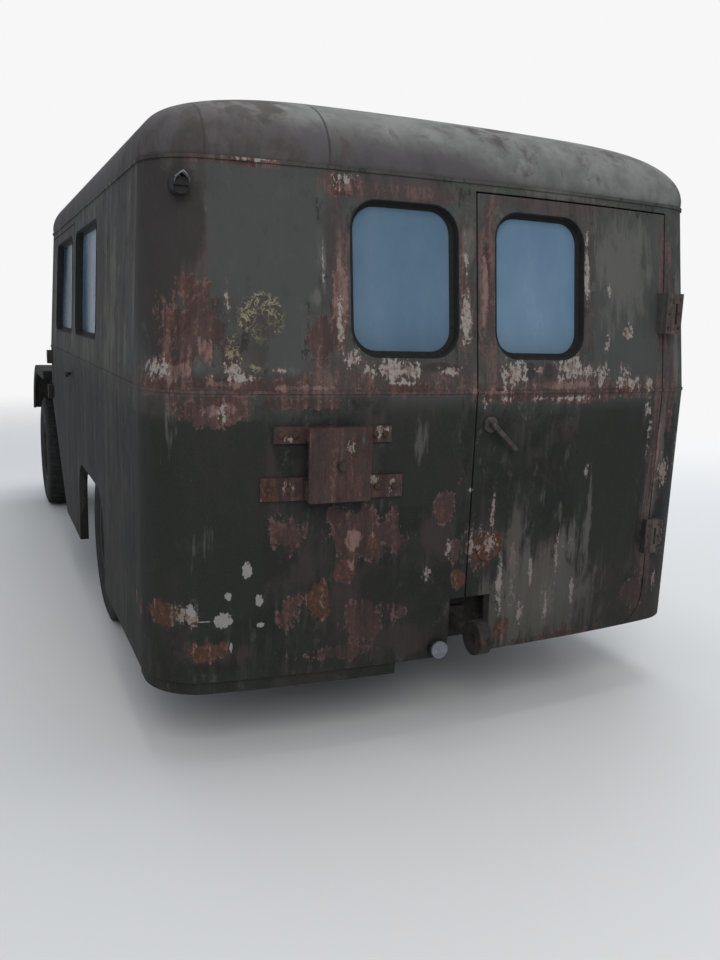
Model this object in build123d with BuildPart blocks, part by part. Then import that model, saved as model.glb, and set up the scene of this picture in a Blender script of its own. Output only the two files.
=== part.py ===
"""Light four-wheel-drive military ambulance truck: a closed steel body with a rounded roof on a ladder
chassis, a short bonnet with separate fenders, one rear door on the right of the rear wall, two cab doors.

Frame: +X to the vehicle's right, +Y forward, +Z up, millimetres, origin on the ground below the middle of
the overall length. The tyres stand on Z = 0.
"""

from build123d import *

import math
import os

os.makedirs("parts", exist_ok=True)

# Overall sizes
OVERALL_LENGTH = 4840.0
PINTLE_REACH = 140.0
REAR_OVERHANG = 1520.0
WHEELBASE = 2650.0
REAR_Y = -OVERALL_LENGTH / 2 + PINTLE_REACH
FRONT_Y = OVERALL_LENGTH / 2
REAR_AXLE_Y = REAR_Y + REAR_OVERHANG
FRONT_AXLE_Y = REAR_AXLE_Y + WHEELBASE
SEAT_GAP = 0.3
GAP = 6.0

# Wheels and tyres
TYRE_R = 395.0
TYRE_HALF_W = 100.0
RIM_R = 203.0
RIM_HALF_W = 78.0
RIM_LIP = 15.0
AXLE_Z = TYRE_R
REAR_WHEEL_X = 895.0
FRONT_WHEEL_X = 960.0
HUB_R = 48.0
SPINDLE_R = 28.0
SPINDLE_REACH = 40.0
DRUM_R = 160.0
DRUM_IN = 74.0
BACKING_IN = 80.0
BACKING_T = 12.0
HAND_HOLES = 6
HAND_HOLE_R = 18.0
HAND_HOLE_PCD_R = 146.0

# Body shell
WALL = 40.0
HALF_WIDTH = 1050.0
SIDE_TUMBLE = 25.0
SILL_Z = 275.0
WAIST_Z = 1180.0
SEAM_Z = 1850.0
REAR_BOW = 84.0
REAR_LEAN_TOP = 78.0
REAR_LEAN_SILL = 10.0
REAR_CORNER_R = 200.0
NOSE_CORNER_R = 200.0
CAB_Y = 1250.0
SCREEN_RAKE = 150.0
BEAD_OUT = 3.0
BEAD_H = 9.0
DRIP_OUT = 5.0
DRIP_H = 10.0
REAR_SPLIT_Y = REAR_Y + 330.0
FRONT_SPLIT_Y = 840.0

# Roof: rise over the seam, and how far its rounded edges draw in at the sides and at the ends.
# Each edge follows a rounded square curve of the power named. The last section is the nearly flat crown.
ROOF_RISE = 266.0
ROOF_SIDE_IN = 968.0
ROOF_SIDE_POWER = 2.9
ROOF_END_IN = 686.0
ROOF_END_POWER = 2.4
ROOF_CORNER_GROWTH = 0.25
ROOF_LEVELS = (0.0, 0.3, 0.55, 0.75, 0.88, 0.95, 0.985)

# Lower flange under the left half of the rear wall
LOWER_EDGE_H = 43.0
LOWER_EDGE_IN = 12.0
LOWER_EDGE_T = 16.0
LOWER_EDGE_END_X = -250.0

# Underside cut in front of the sill, which rises to the nose for the front wheels
CUT_START_Y = REAR_Y + 2600.0
CUT_SLOPE = 0.768

# Doors and windows
REAR_DOOR_FREE_X = 0.0
REAR_DOOR_HINGE_X = 832.0
REAR_DOOR_TOP = 1812.0
REAR_DOOR_CORNER_R = 130.0
REAR_HINGE_Y = REAR_Y + 38.0
CAB_DOOR_REAR = REAR_Y + 2040.0
CAB_DOOR_FRONT = 1010.0
CAB_DOOR_TOP = 1806.0
CAB_HINGE_X = HALF_WIDTH + 20.0
WINDOW_LOW = 1290.0
WINDOW_HIGH = 1762.0
REAR_WINDOW_IN = 71.0
REAR_WINDOW_OUT = 438.0
REAR_WINDOW_R = 88.0
SIDE_WINDOW_REAR = REAR_Y + 1220.0
SIDE_WINDOW_FRONT = REAR_Y + 1960.0
SIDE_WINDOW_R = 60.0
DOOR_WINDOW_REAR = -172.0
DOOR_WINDOW_FRONT = 690.0
DOOR_WINDOW_RAKE = 90.0
SCREEN_IN = 45.0
SCREEN_OUT = 800.0
SCREEN_LOW = 1350.0
SCREEN_HIGH = 1750.0
SCREEN_R = 50.0
GLASS_INSET = 30.0
GLASS_T = 6.0

# Hinges: radius of the barrel and its pin, half height, reach of a leaf along the wall
BARREL_R = 9.0
PIN_R = 4.0
PIN_PLAY = 0.4
LEAF_REACH = 36.0
REAR_HINGES = [(1458.0, 72.0), (625.0, 65.0)]
CAB_HINGES = [(900.0, 40.0), (1115.0, 40.0)]

# Wheel arches and housings
ARCH_HALF = 435.0
ARCH_TOP = 680.0
ARCH_R = 170.0
HOUSING_R = 470.0
HOUSING_T = 20.0
HOUSING_X = 740.0

# Floor
FLOOR_LOW = 640.0
FLOOR_TOP = 680.0
BEARER_LOW = 610.3
BEARER_W = 60.0
BEARERS_Y = [-1900.0, -1300.0, -60.0, 500.0]
TOE_T = 30.0

# Chassis
RAIL_IN = 350.0
RAIL_OUT = 400.0
RAIL_LOW = 500.0
RAIL_TOP = 610.0
RAIL_T = 8.0
RAIL_REAR = REAR_Y + 110.0
RAIL_FRONT = FRONT_Y - 40.0
CROSS_W = 60.0
CROSSMEMBERS_Y = [-1250.0, -330.0, 80.0, 1310.0, 2280.0]
DRAWBAR_LOW = 300.0
DRAWBAR_T = 16.0

# Springs: lateral place, width, half length of the main leaf, leaf thickness, leaves, rise of the eyes
SPRING_X = 450.0
SPRING_W = 60.0
SPRING_HALF = 460.0
LEAF_T = 8.0
LEAVES = 5
SPRING_RISE = 62.0
SPRING_TOP = 492.0
EYE_R = 20.0

# Axles
AXLE_R = 42.0
DIFF_R = 125.0
FRONT_DIFF_X = 180.0
KINGPIN_X = 790.0
KNUCKLE_BALL_R = 62.0
KINGPIN_R = 14.0
ARM_T = 20.0
STEER_ARM = 150.0
TIE_ROD_R = 13.0
TIE_ROD_Z = 290.0

# Front end
BONNET_REAR_Y = CAB_Y + 18.0
BONNET_FRONT_Y = 2176.0
BONNET_T = 18.0
BONNET_LOW = 1060.0
# Bonnet sections: y, half width, height of the side's top edge, height of the crown
BONNET_REAR = (BONNET_REAR_Y, 450.0, 1185.0, 1300.0)
BONNET_FRONT = (BONNET_FRONT_Y, 370.0, 1140.0, 1240.0)
BONNET_EDGE_R = 70.0
FENDER_TOP = 1010.0
FENDER_T = 14.0
FENDER_OUT = 1090.0
FENDER_FLAT_Y = 1900.0
FENDER_END_Z = 660.0
APRON_T = 12.0
APRON_LOW = 700.0
GRILLE_Y = 2182.0
GRILLE_DEPTH = 66.0
GRILLE_LOW = 640.0
GRILLE_FRAME = 60.0
SLATS = 13
SLAT_W = 12.0
BUMPER_DEPTH = 40.0
BUMPER_HALF = 900.0
BUMPER_LOW = 480.0
BUMPER_H = 120.0
LAMP_X = 640.0
LAMP_Z = 1120.0
LAMP_R = 95.0

# Pieces on the rear wall
REAR_LEAF_DEPTH = 61.0
CAB_LEAF_DEPTH = 32.0
PINTLE_CUT_LEFT = -60.0
PINTLE_CUT_RIGHT = 100.0
PINTLE_CUT_TOP = 480.0
REAR_HANDLE_X = 54.0
REAR_HANDLE_Z = 1074.0
REAR_HANDLE_STAND = 28.0
LEVER_DX = 86.0
LEVER_DZ = 80.0
HANDLE_R = 9.0
HANDLE_STAND = 28.0
HANDLE_Y = -195.0
HANDLE_LENGTH = 110.0
HANDLE_Z = 1085.0
STRAP_T = 8.0
# Straps: low x, high x, low z, high z
STRAPS = [(-688.0, -308.0, 1026.0, 1078.0), (-727.0, -264.0, 849.0, 921.0)]
BRACKET_PLATE = (-596.0, -390.0, 849.0, 1079.0)
BRACKET_STAND = 24.0
BRACKET_T = 10.0
BRACKET_R = 8.0
STUD_R = 14.0
STUD_LENGTH = 34.0
TAIL_LAMP_X = -105.0
TAIL_LAMP_Y = REAR_Y - 12.0
TAIL_LAMP_Z = 312.0
TAIL_LAMP_R = 33.0
MARKER_X = -945.0
MARKER_Y = REAR_Y + 104.0
MARKER_Z = 1755.0
MARKER_R = 22.0
PINTLE_Z = 368.0
PINTLE_PLATE = 50.0
PINTLE_SHANK_R = 22.0
PINTLE_JAW_R = 58.0
PINTLE_JAW_W = 44.0
PINTLE_EYE_R = 24.0

# Cab inside
SEAT_X = 430.0
SEAT_HALF = 230.0
SEAT_REAR_Y = 190.0
SEAT_FRONT_Y = 640.0
SEAT_BASE_Z = 950.0
CUSHION_T = 100.0
BACK_T = 90.0
BACK_H = 520.0
SEAT_EDGE_R = 22.0
COLUMN_FOOT = (-430.0, 1080.0, 876.0)
COLUMN_TOP = (-430.0, 790.0, 1240.0)
COLUMN_END = (-430.0, 771.3, 1263.5)
COLUMN_R = 22.0
SHAFT_R = 9.0
STEER_HUB_L = 26.0
STEER_HUB_R = 30.0
STEER_RIM_R = 205.0
STEER_TUBE_R = 12.0
STEER_SPOKES = 3
STEER_SPOKE_R = 7.0
RACK_INNER_X = -440.0
RACK_OUTER_X = -980.0
RACK_REAR_Y = -1960.0
RACK_MID_Y = -1160.0
RACK_FRONT_Y = -200.0
RACK_BAR = 30.0
RACK_TOP_Z = 1460.0
RACK_LEVELS = (930.0, 1430.0)
RACK_SLATS = 6

# Drive
CROSS_LOW = 515.0
CROSS_TOP = 595.0
DRAWBAR_HALF = 200.0
SPRING_PIN_R = 9.0
PINION_REACH = 190.0
PINION_R = 50.0
PAD_HALF = 60.0
BACKING_R = 156.0
BALL_FLAT = 60.0
ARM_OFF = 64.0
ARM_HALF = 30.0
STEER_ARM_HALF = 18.0
TIE_EYE_R = 18.0
TIE_EYE_H = 24.0
TIE_PIN_R = 8.0
RIM_T = 7.0
DISC_OUT = 36.0
DISC_IN = 10.0
DISC_T = 8.0
DISC_BEND_R = 172.0
DISC_FLAT_R = 120.0
DRUM_T = 10.0
HUB_IN = 60.0
HUB_OUT = 70.0
TYRE_WIDEST_R = 292.0
TYRE_SHOULDER_W = 84.0
TYRE_SHOULDER_R = 379.0
ENGINE_HALF = 210.0
ENGINE_REAR = 1400.0
ENGINE_FRONT = 2060.0
ENGINE_LOW = 560.0
ENGINE_TOP = 1030.0
CORE_HALF = 330.0
CORE_DEPTH = 60.0
CORE_LOW = 690.0
CORE_TOP = 1090.0
GEARBOX_HALF = 130.0
GEARBOX_REAR = 950.0
GEARBOX_LOW = 600.0
GEARBOX_TOP = 740.0
TRANSFER_LEFT = -140.0
TRANSFER_RIGHT = 240.0
TRANSFER_REAR = 180.0
TRANSFER_FRONT = 520.0
TRANSFER_LOW = 400.0
TRANSFER_TOP = 600.0
REAR_OUT_Z = 470.0
FRONT_OUT_Z = 450.0
SHAFT_TUBE_R = 24.0
FLANGE_R = 45.0
FLANGE_T = 12.0
SILENCER_X = -620.0
SILENCER_REAR = -40.0
SILENCER_FRONT = 440.0
SILENCER_R = 75.0
PIPE_Z = 455.0
PIPE_TAIL_Z = 490.0
PIPE_R = 24.0
PIPE_BEND_R = 90.0
PIPE_END_Y = -2120.0
TANK_IN = 430.0
TANK_OUT = 960.0
TANK_REAR = -150.0
TANK_FRONT = 420.0
TANK_LOW = 360.0
TANK_TOP = 600.0
TANK_EDGE_R = 30.0

# Bonnet hinge and scuttle
SCUTTLE_Y = CAB_Y + 12.0
SCUTTLE_DEPTH = 60.0
SCUTTLE_LOW = 1000.0
BONNET_HINGE_Y = CAB_Y + 15.0
BONNET_HINGE_Z = 1309.0
BONNET_HINGE_HALF = 110.0
BONNET_INNER_REAR = (BONNET_REAR_Y - 1.0, *BONNET_REAR[1:])
BONNET_INNER_FRONT = (BONNET_FRONT_Y + 1.0, *BONNET_FRONT[1:])
FENDER_R = 485.0
FENDER_LIP = 55.0
BUMPER_T = 6.0
SLAT_BACK = 18.0
SLAT_DEPTH = 30.0
LAMP_REAR_Y = 1770.0
LAMP_DEPTH = 170.0
LAMP_FOOT_R = 22.0


def sides(z):
    """Half width, rear y and front y of the skin at height z: straight from sill to waist and waist to seam."""
    if z <= WAIST_Z:
        share = (WAIST_Z - z) / (WAIST_Z - SILL_Z)
        return HALF_WIDTH, REAR_Y + REAR_LEAN_SILL * share, CAB_Y
    share = (z - WAIST_Z) / (SEAM_Z - WAIST_Z)
    return (
        HALF_WIDTH - SIDE_TUMBLE * share,
        REAR_Y + REAR_LEAN_TOP * share,
        CAB_Y - SCREEN_RAKE * share,
    )


def plan(z, half, rear, front, rear_r, nose_r):
    """Plan outline at height z: bowed rear, straight sides, flat nose, rounded corners."""
    bow = REAR_BOW * (half / HALF_WIDTH) ** 2
    with BuildSketch(Plane.XY.offset(z), mode=Mode.PRIVATE) as outline:
        with BuildLine():
            ThreePointArc((-half, rear + bow), (0, rear), (half, rear + bow))
            Polyline((half, rear + bow), (half, front), (-half, front), (-half, rear + bow))
        make_face()
        fillet(outline.vertices().group_by(Axis.Y)[0], rear_r)
        fillet(outline.vertices().group_by(Axis.Y)[-1], nose_r)
    return outline.sketch


def wall_plan(z, inset):
    half, rear, front = sides(z)
    return plan(
        z,
        half - inset,
        rear + inset,
        front - inset,
        REAR_CORNER_R - inset,
        NOSE_CORNER_R - inset,
    )


def walls(inset, low=SILL_Z):
    """The closed block inside the skin by the inset, from low to the seam."""
    with BuildPart(mode=Mode.PRIVATE) as block:
        loft([wall_plan(low, inset), wall_plan(WAIST_Z, inset)], ruled=True)
        loft([wall_plan(WAIST_Z, inset), wall_plan(SEAM_Z, inset)], ruled=True)
    return block.part
def drawn_in(level, reach, power):
    """How far a rounded edge has come in at a share of its rise: nothing at 0, the whole reach at 1."""
    return reach * (1 - (1 - level**power) ** (1 / power))


def roof_block(inset):
    """The closed roof inside its skin by the inset, from the seam up."""
    half, rear, front = sides(SEAM_Z)
    sections = []
    for level in ROOF_LEVELS:
        side_in = drawn_in(level, ROOF_SIDE_IN, ROOF_SIDE_POWER) + inset
        end_in = drawn_in(level, ROOF_END_IN, ROOF_END_POWER) + inset
        corner_r = REAR_CORNER_R + ROOF_CORNER_GROWTH * (side_in - inset) - inset
        z = SEAM_Z + level * (ROOF_RISE - inset)
        sections.append(plan(z, half - side_in, rear + end_in, front - end_in, corner_r, corner_r))
    with BuildPart(mode=Mode.PRIVATE) as block:
        loft(sections)
    return block.part


def band(z, height, proud):
    """A flat slab of the whole plan that stands proud of the skin, for a moulding round the body."""
    with BuildPart(mode=Mode.PRIVATE) as slab:
        with BuildSketch(Plane.XY.offset(z)):
            add(wall_plan(z, -proud))
        extrude(amount=height)
    return slab.part


def prism(plane, points, depth, corner_r=0.0):
    """A closed outline on a plane, pushed along the plane's normal, with its corners rounded."""
    with BuildPart(mode=Mode.PRIVATE) as solid:
        with BuildSketch(plane) as outline:
            with BuildLine():
                Polyline(*points, close=True)
            make_face()
            if corner_r:
                fillet(outline.vertices(), corner_r)
        extrude(amount=depth)
    return solid.part


def along_x(points, low_x, high_x, corner_r=0.0):
    """A prism along X from a closed (y, z) outline."""
    return prism(Plane.YZ.offset(low_x), points, high_x - low_x, corner_r)


def along_y(points, low_y, high_y, corner_r=0.0):
    """A prism along Y from a closed (x, z) outline."""
    return prism(Plane.XZ.offset(-high_y), points, high_y - low_y, corner_r)


def along_z(points, low_z, high_z, corner_r=0.0):
    """A prism along Z from a closed (x, y) outline."""
    return prism(Plane.XY.offset(low_z), points, high_z - low_z, corner_r)


def rectangle(low_u, high_u, low_v, high_v):
    return [(low_u, low_v), (high_u, low_v), (high_u, high_v), (low_u, high_v)]


def block(low, high):
    """A box between its lowest and highest corners."""
    return along_z(rectangle(low[0], high[0], low[1], high[1]), low[2], high[2])


def soft_block(low, high, radius):
    """A box between two corners with all its edges rounded."""
    with BuildPart(mode=Mode.PRIVATE) as pad:
        add(block(low, high))
        fillet(pad.edges(), radius)
    return pad.part


def tube(start, end, radius):
    """A round bar or shaft between two points."""
    axis = Vector(*end) - Vector(*start)
    with BuildPart(mode=Mode.PRIVATE) as bar:
        with BuildSketch(Plane(origin=start, z_dir=axis)):
            Circle(radius)
        extrude(amount=axis.length)
    return bar.part


def turned(plane, points):
    """A solid of revolution about the plane's own x axis, from a closed (along, radius) outline."""
    with BuildPart(mode=Mode.PRIVATE) as solid:
        with BuildSketch(plane):
            with BuildLine():
                Polyline(*points, close=True)
            make_face()
        revolve(axis=Axis(plane.origin, plane.x_dir))
    return solid.part


def mirrored(shape):
    """The same shape on the other side of the vehicle."""
    return shape.mirror(Plane.YZ)


# Closed blocks that the panels are cut from
FAR = OVERALL_LENGTH
FAR_X = 2 * HALF_WIDTH
outer_block = walls(0.0)
inner_block = walls(WALL, SILL_Z - 1.0)
clear_block = walls(-SEAT_GAP, SILL_Z - 2.0)
seat_block = walls(WALL + SEAT_GAP, SILL_Z - 2.0)
glass_layer = walls(GLASS_INSET, SILL_Z + 1.0) - walls(GLASS_INSET + GLASS_T, SILL_Z - 3.0)


def cut_line(y):
    """Height of the underside cut at y."""
    return SILL_Z + (y - CUT_START_Y) * CUT_SLOPE


CUT_END_Y = CAB_Y + 200.0
underside_cut = along_x(
    [(CUT_START_Y, 0.0), (CUT_START_Y, SILL_Z), (CUT_END_Y, cut_line(CUT_END_Y)), (CUT_END_Y, 0.0)],
    -FAR_X,
    FAR_X,
)

with BuildPart() as shell:
    add(outer_block)
    add(band(WAIST_Z - BEAD_H / 2, BEAD_H, BEAD_OUT))
    add(band(SEAM_Z - DRIP_H, DRIP_H, DRIP_OUT))
    add(inner_block, mode=Mode.SUBTRACT)
    add(underside_cut, mode=Mode.SUBTRACT)


def rear_door_space(grow):
    """Space of the rear door, grown by the amount on its free, hinge and top edges."""
    free = REAR_DOOR_FREE_X + GAP / 2 - grow
    hinge = REAR_DOOR_HINGE_X + grow
    with BuildPart(mode=Mode.PRIVATE) as space:
        with BuildSketch(Plane.XZ.offset(-REAR_SPLIT_Y)) as outline:
            with BuildLine():
                Polyline(*rectangle(free, hinge, SILL_Z - 1, REAR_DOOR_TOP + grow), close=True)
            make_face()
            corner = outline.vertices().sort_by(Axis.X)[-2:].sort_by(Axis.Y)[0]
            fillet(corner, REAR_DOOR_CORNER_R)
        extrude(amount=REAR_SPLIT_Y - REAR_Y + WALL)
    return space.part


def cab_door_space(grow, side):
    """Space of a cab door on one side, grown by the amount all round but at the sill."""
    rear = CAB_DOOR_REAR + GAP / 2 - grow
    front = CAB_DOOR_FRONT + grow
    top = CAB_DOOR_TOP + grow
    rake = SCREEN_RAKE * (top - WAIST_Z) / (SEAM_Z - WAIST_Z)
    points = [(rear, 0.0), (front, 0.0), (front, WAIST_Z), (front - rake, top), (rear, top)]
    low_x, high_x = sorted((side * (HALF_WIDTH - 3 * WALL), side * FAR_X))
    return along_x(points, low_x, high_x)


def shrink(points, amount):
    """Move each corner of an outline towards its middle by the amount along both directions."""
    mid_u = sum(p[0] for p in points) / len(points)
    mid_v = sum(p[1] for p in points) / len(points)
    return [
        (u - math.copysign(amount, u - mid_u), v - math.copysign(amount, v - mid_v)) for u, v in points
    ]


side_window_outline = rectangle(SIDE_WINDOW_REAR, SIDE_WINDOW_FRONT, WINDOW_LOW, WINDOW_HIGH)
door_window_outline = [
    (DOOR_WINDOW_REAR, WINDOW_LOW),
    (DOOR_WINDOW_FRONT, WINDOW_LOW),
    (DOOR_WINDOW_FRONT - DOOR_WINDOW_RAKE, WINDOW_HIGH),
    (DOOR_WINDOW_REAR, WINDOW_HIGH),
]


def rear_window(side, inset=0.0):
    low_x, high_x = sorted((side * REAR_WINDOW_IN, side * REAR_WINDOW_OUT))
    points = shrink(rectangle(low_x, high_x, WINDOW_LOW, WINDOW_HIGH), inset)
    return along_y(points, REAR_Y - WALL, REAR_SPLIT_Y, REAR_WINDOW_R - inset)


def side_window(outline, side, inset=0.0):
    low_x, high_x = sorted((side * (HALF_WIDTH - 3 * WALL), side * (HALF_WIDTH + WALL)))
    return along_x(shrink(outline, inset), low_x, high_x, SIDE_WINDOW_R - inset)


def screen_window(side, inset=0.0):
    low_x, high_x = sorted((side * SCREEN_IN, side * SCREEN_OUT))
    points = shrink(rectangle(low_x, high_x, SCREEN_LOW, SCREEN_HIGH), inset)
    return along_y(points, CAB_Y - SCREEN_RAKE - 2 * WALL, CAB_Y + WALL, SCREEN_R - inset)


def hinge_plane(x, y, z, side):
    """Plane of a door hinge: x along the wall from door to post, z along the pin, y into the wall."""
    if side == 0:
        return Plane(origin=(x, y, z), x_dir=(1, 0, 0), z_dir=(0, 0, 1))
    return Plane(origin=(x, y, z), x_dir=(0, 1, 0), z_dir=(0, 0, side))


def hinge_half(plane, half, depth, post):
    """One half of a hinge: the post's two knuckles with the pin, or the door's knuckle between them."""
    sign = 1 if post else -1
    play = 0.0 if post else PIN_PLAY
    leaf_in = BARREL_R + 5.0
    leaf = rectangle(*sorted((sign * leaf_in, sign * LEAF_REACH)), -BARREL_R, depth)
    neck = rectangle(*sorted((0.0, sign * leaf_in)), -BARREL_R, BARREL_R)
    spans = [(-half, -half / 2), (half / 2, half)] if post else [(1.0 - half / 2, half / 2 - 1.0)]
    with BuildPart(mode=Mode.PRIVATE) as hinge:
        add(prism(plane.offset(-half), leaf, 2 * half))
        for low, high in spans:
            add(prism(plane.offset(low), neck, high - low))
            with BuildSketch(plane.offset(low)):
                Circle(BARREL_R)
            extrude(amount=high - low)
        with BuildSketch(plane.offset(-half)):
            Circle(PIN_R + play)
        extrude(amount=2 * half, mode=Mode.ADD if post else Mode.SUBTRACT)
    return hinge.part


rear_hinge_x = REAR_DOOR_HINGE_X + GAP / 2
cab_hinge_y = CAB_DOOR_FRONT + GAP / 2

with BuildPart() as roof:
    add(roof_block(0.0))
    add(roof_block(WALL), mode=Mode.SUBTRACT)
roof.part.label = "roof"

pintle_cut = along_y(
    rectangle(PINTLE_CUT_LEFT, PINTLE_CUT_RIGHT, 0.0, PINTLE_CUT_TOP), REAR_Y - WALL, REAR_SPLIT_Y
)

with BuildPart() as lower_flange:
    with BuildSketch(Plane.XY.offset(SILL_Z - LOWER_EDGE_H)):
        add(wall_plan(SILL_Z, LOWER_EDGE_IN))
        add(wall_plan(SILL_Z, LOWER_EDGE_IN + LOWER_EDGE_T), mode=Mode.SUBTRACT)
    extrude(amount=LOWER_EDGE_H + WALL / 2)
    add(block((-FAR_X, REAR_Y - WALL, 0), (LOWER_EDGE_END_X, REAR_SPLIT_Y, SEAM_Z)), mode=Mode.INTERSECT)

with BuildPart() as rear_wall:
    add(shell.part)
    add(lower_flange.part)
    add(block((-FAR_X, REAR_Y - WALL, 0), (FAR_X, REAR_SPLIT_Y, SEAM_Z)), mode=Mode.INTERSECT)
    add(rear_door_space(GAP), mode=Mode.SUBTRACT)
    add(rear_window(-1), mode=Mode.SUBTRACT)
    add(pintle_cut, mode=Mode.SUBTRACT)
    for z, half in REAR_HINGES:
        add(hinge_half(hinge_plane(rear_hinge_x, REAR_HINGE_Y, z, 0), half, REAR_LEAF_DEPTH, True))
rear_wall.part.label = "rear_wall"

with BuildPart() as rear_door:
    add(shell.part)
    add(rear_door_space(0.0), mode=Mode.INTERSECT)
    add(rear_window(1), mode=Mode.SUBTRACT)
    add(pintle_cut, mode=Mode.SUBTRACT)
    for z, half in REAR_HINGES:
        add(hinge_half(hinge_plane(rear_hinge_x, REAR_HINGE_Y, z, 0), half, REAR_LEAF_DEPTH, False))
rear_door.part.label = "rear_door"


def side_panel(side):
    """Side wall between the rear wall and the cab front, with its window and wheel arch."""
    low_x, high_x = sorted((0.0, side * FAR_X))
    arch = rectangle(REAR_AXLE_Y - ARCH_HALF, REAR_AXLE_Y + ARCH_HALF, -ARCH_TOP, ARCH_TOP)
    arch_low, arch_high = sorted((side * (HALF_WIDTH - 3 * WALL), side * FAR_X))
    with BuildPart(mode=Mode.PRIVATE) as panel:
        add(shell.part)
        add(block((low_x, REAR_SPLIT_Y, 0), (high_x, FRONT_SPLIT_Y, SEAM_Z)), mode=Mode.INTERSECT)
        add(cab_door_space(GAP, side), mode=Mode.SUBTRACT)
        add(side_window(side_window_outline, side), mode=Mode.SUBTRACT)
        add(along_x(arch, arch_low, arch_high, ARCH_R), mode=Mode.SUBTRACT)
    return panel.part


with BuildPart() as side_panel_left:
    add(side_panel(-1))
side_panel_left.part.label = "side_panel_left"

with BuildPart() as side_panel_right:
    add(side_panel(1))
side_panel_right.part.label = "side_panel_right"


def bonnet_section(half, side_z, crown_z, low_z, y, inset=0.0):
    """Bonnet outline across the vehicle at y: upright sides under a crowned top."""
    half, side_z, crown_z = half - inset, side_z - inset, crown_z - inset
    with BuildSketch(Plane.XZ.offset(-y), mode=Mode.PRIVATE) as outline:
        with BuildLine():
            ThreePointArc((-half, side_z), (0, crown_z), (half, side_z))
            Polyline((half, side_z), (half, low_z), (-half, low_z), (-half, side_z))
        make_face()
        fillet(outline.vertices().sort_by(Axis.Y)[-2:], BONNET_EDGE_R - inset)
    return outline.sketch


def bonnet_hinge_half(post):
    """The bonnet hinge: two post knuckles outside a bonnet knuckle on a pin along X."""
    plane = Plane(origin=(0, BONNET_HINGE_Y, BONNET_HINGE_Z), x_dir=(0, -1, 0), z_dir=(1, 0, 0))
    return hinge_half(plane, BONNET_HINGE_HALF, BONNET_HINGE_Z - BONNET_REAR[3] + BONNET_T / 2, post)


with BuildPart() as cab_front:
    add(shell.part)
    add(block((-FAR_X, FRONT_SPLIT_Y, 0), (FAR_X, FAR, SEAM_Z)), mode=Mode.INTERSECT)
    for side in (-1, 1):
        add(cab_door_space(GAP, side), mode=Mode.SUBTRACT)
        add(screen_window(side), mode=Mode.SUBTRACT)
        for z, half in CAB_HINGES:
            plane = hinge_plane(side * CAB_HINGE_X, cab_hinge_y, z, side)
            add(hinge_half(plane, half, CAB_LEAF_DEPTH, True))
    add(extrude(bonnet_section(*BONNET_REAR[1:], SCUTTLE_LOW, SCUTTLE_Y), amount=SCUTTLE_DEPTH))
    add(bonnet_hinge_half(True))
cab_front.part.label = "cab_front"


def cab_door(side):
    """Cab door with its window and the door half of its hinges."""
    handle_x = side * (HALF_WIDTH + HANDLE_STAND)
    post_x = side * (HALF_WIDTH - WALL / 2)
    with BuildPart(mode=Mode.PRIVATE) as door:
        add(shell.part)
        add(cab_door_space(0.0, side), mode=Mode.INTERSECT)
        add(side_window(door_window_outline, side), mode=Mode.SUBTRACT)
        for z, half in CAB_HINGES:
            plane = hinge_plane(side * CAB_HINGE_X, cab_hinge_y, z, side)
            add(hinge_half(plane, half, CAB_LEAF_DEPTH, False))
        for y in (HANDLE_Y, HANDLE_Y + HANDLE_LENGTH):
            add(tube((post_x, y, HANDLE_Z), (handle_x, y, HANDLE_Z), HANDLE_R))
        grip_low = HANDLE_Y - HANDLE_R
        grip_high = HANDLE_Y + HANDLE_LENGTH + HANDLE_R
        add(tube((handle_x, grip_low, HANDLE_Z), (handle_x, grip_high, HANDLE_Z), HANDLE_R))
    return door.part


with BuildPart() as cab_door_left:
    add(cab_door(-1))
cab_door_left.part.label = "cab_door_left"

with BuildPart() as cab_door_right:
    add(mirrored(cab_door_left.part))
cab_door_right.part.label = "cab_door_right"

with BuildPart() as body_glass:
    for side in (-1, 1):
        add(glass_layer & side_window(side_window_outline, side, SEAT_GAP))
        add(glass_layer & screen_window(side, SEAT_GAP))
    add(glass_layer & rear_window(-1, SEAT_GAP))
body_glass.part.label = "body_glass"

with BuildPart() as rear_door_glass:
    add(glass_layer & rear_window(1, SEAT_GAP))
rear_door_glass.part.label = "rear_door_glass"

with BuildPart() as cab_door_glass_left:
    add(glass_layer & side_window(door_window_outline, -1, SEAT_GAP))
cab_door_glass_left.part.label = "cab_door_glass_left"

with BuildPart() as cab_door_glass_right:
    add(glass_layer & side_window(door_window_outline, 1, SEAT_GAP))
cab_door_glass_right.part.label = "cab_door_glass_right"

# Lever handle on the rear door
handle_top = (REAR_HANDLE_X, REAR_Y - REAR_HANDLE_STAND, REAR_HANDLE_Z)
handle_end = (REAR_HANDLE_X + LEVER_DX, REAR_Y - REAR_HANDLE_STAND, REAR_HANDLE_Z - LEVER_DZ)
with BuildPart() as rear_door_handle:
    add(tube(handle_top, (REAR_HANDLE_X, REAR_Y + WALL / 2, REAR_HANDLE_Z), HANDLE_R))
    add(tube((REAR_HANDLE_X, REAR_Y - 8, REAR_HANDLE_Z), (REAR_HANDLE_X, REAR_Y + WALL / 2, REAR_HANDLE_Z), 26))
    add(tube(handle_top, handle_end, HANDLE_R))
    for point in (handle_top, handle_end):
        with Locations(point):
            Sphere(HANDLE_R)
    add(clear_block, mode=Mode.SUBTRACT)
rear_door_handle.part.label = "rear_door_handle"

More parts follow.
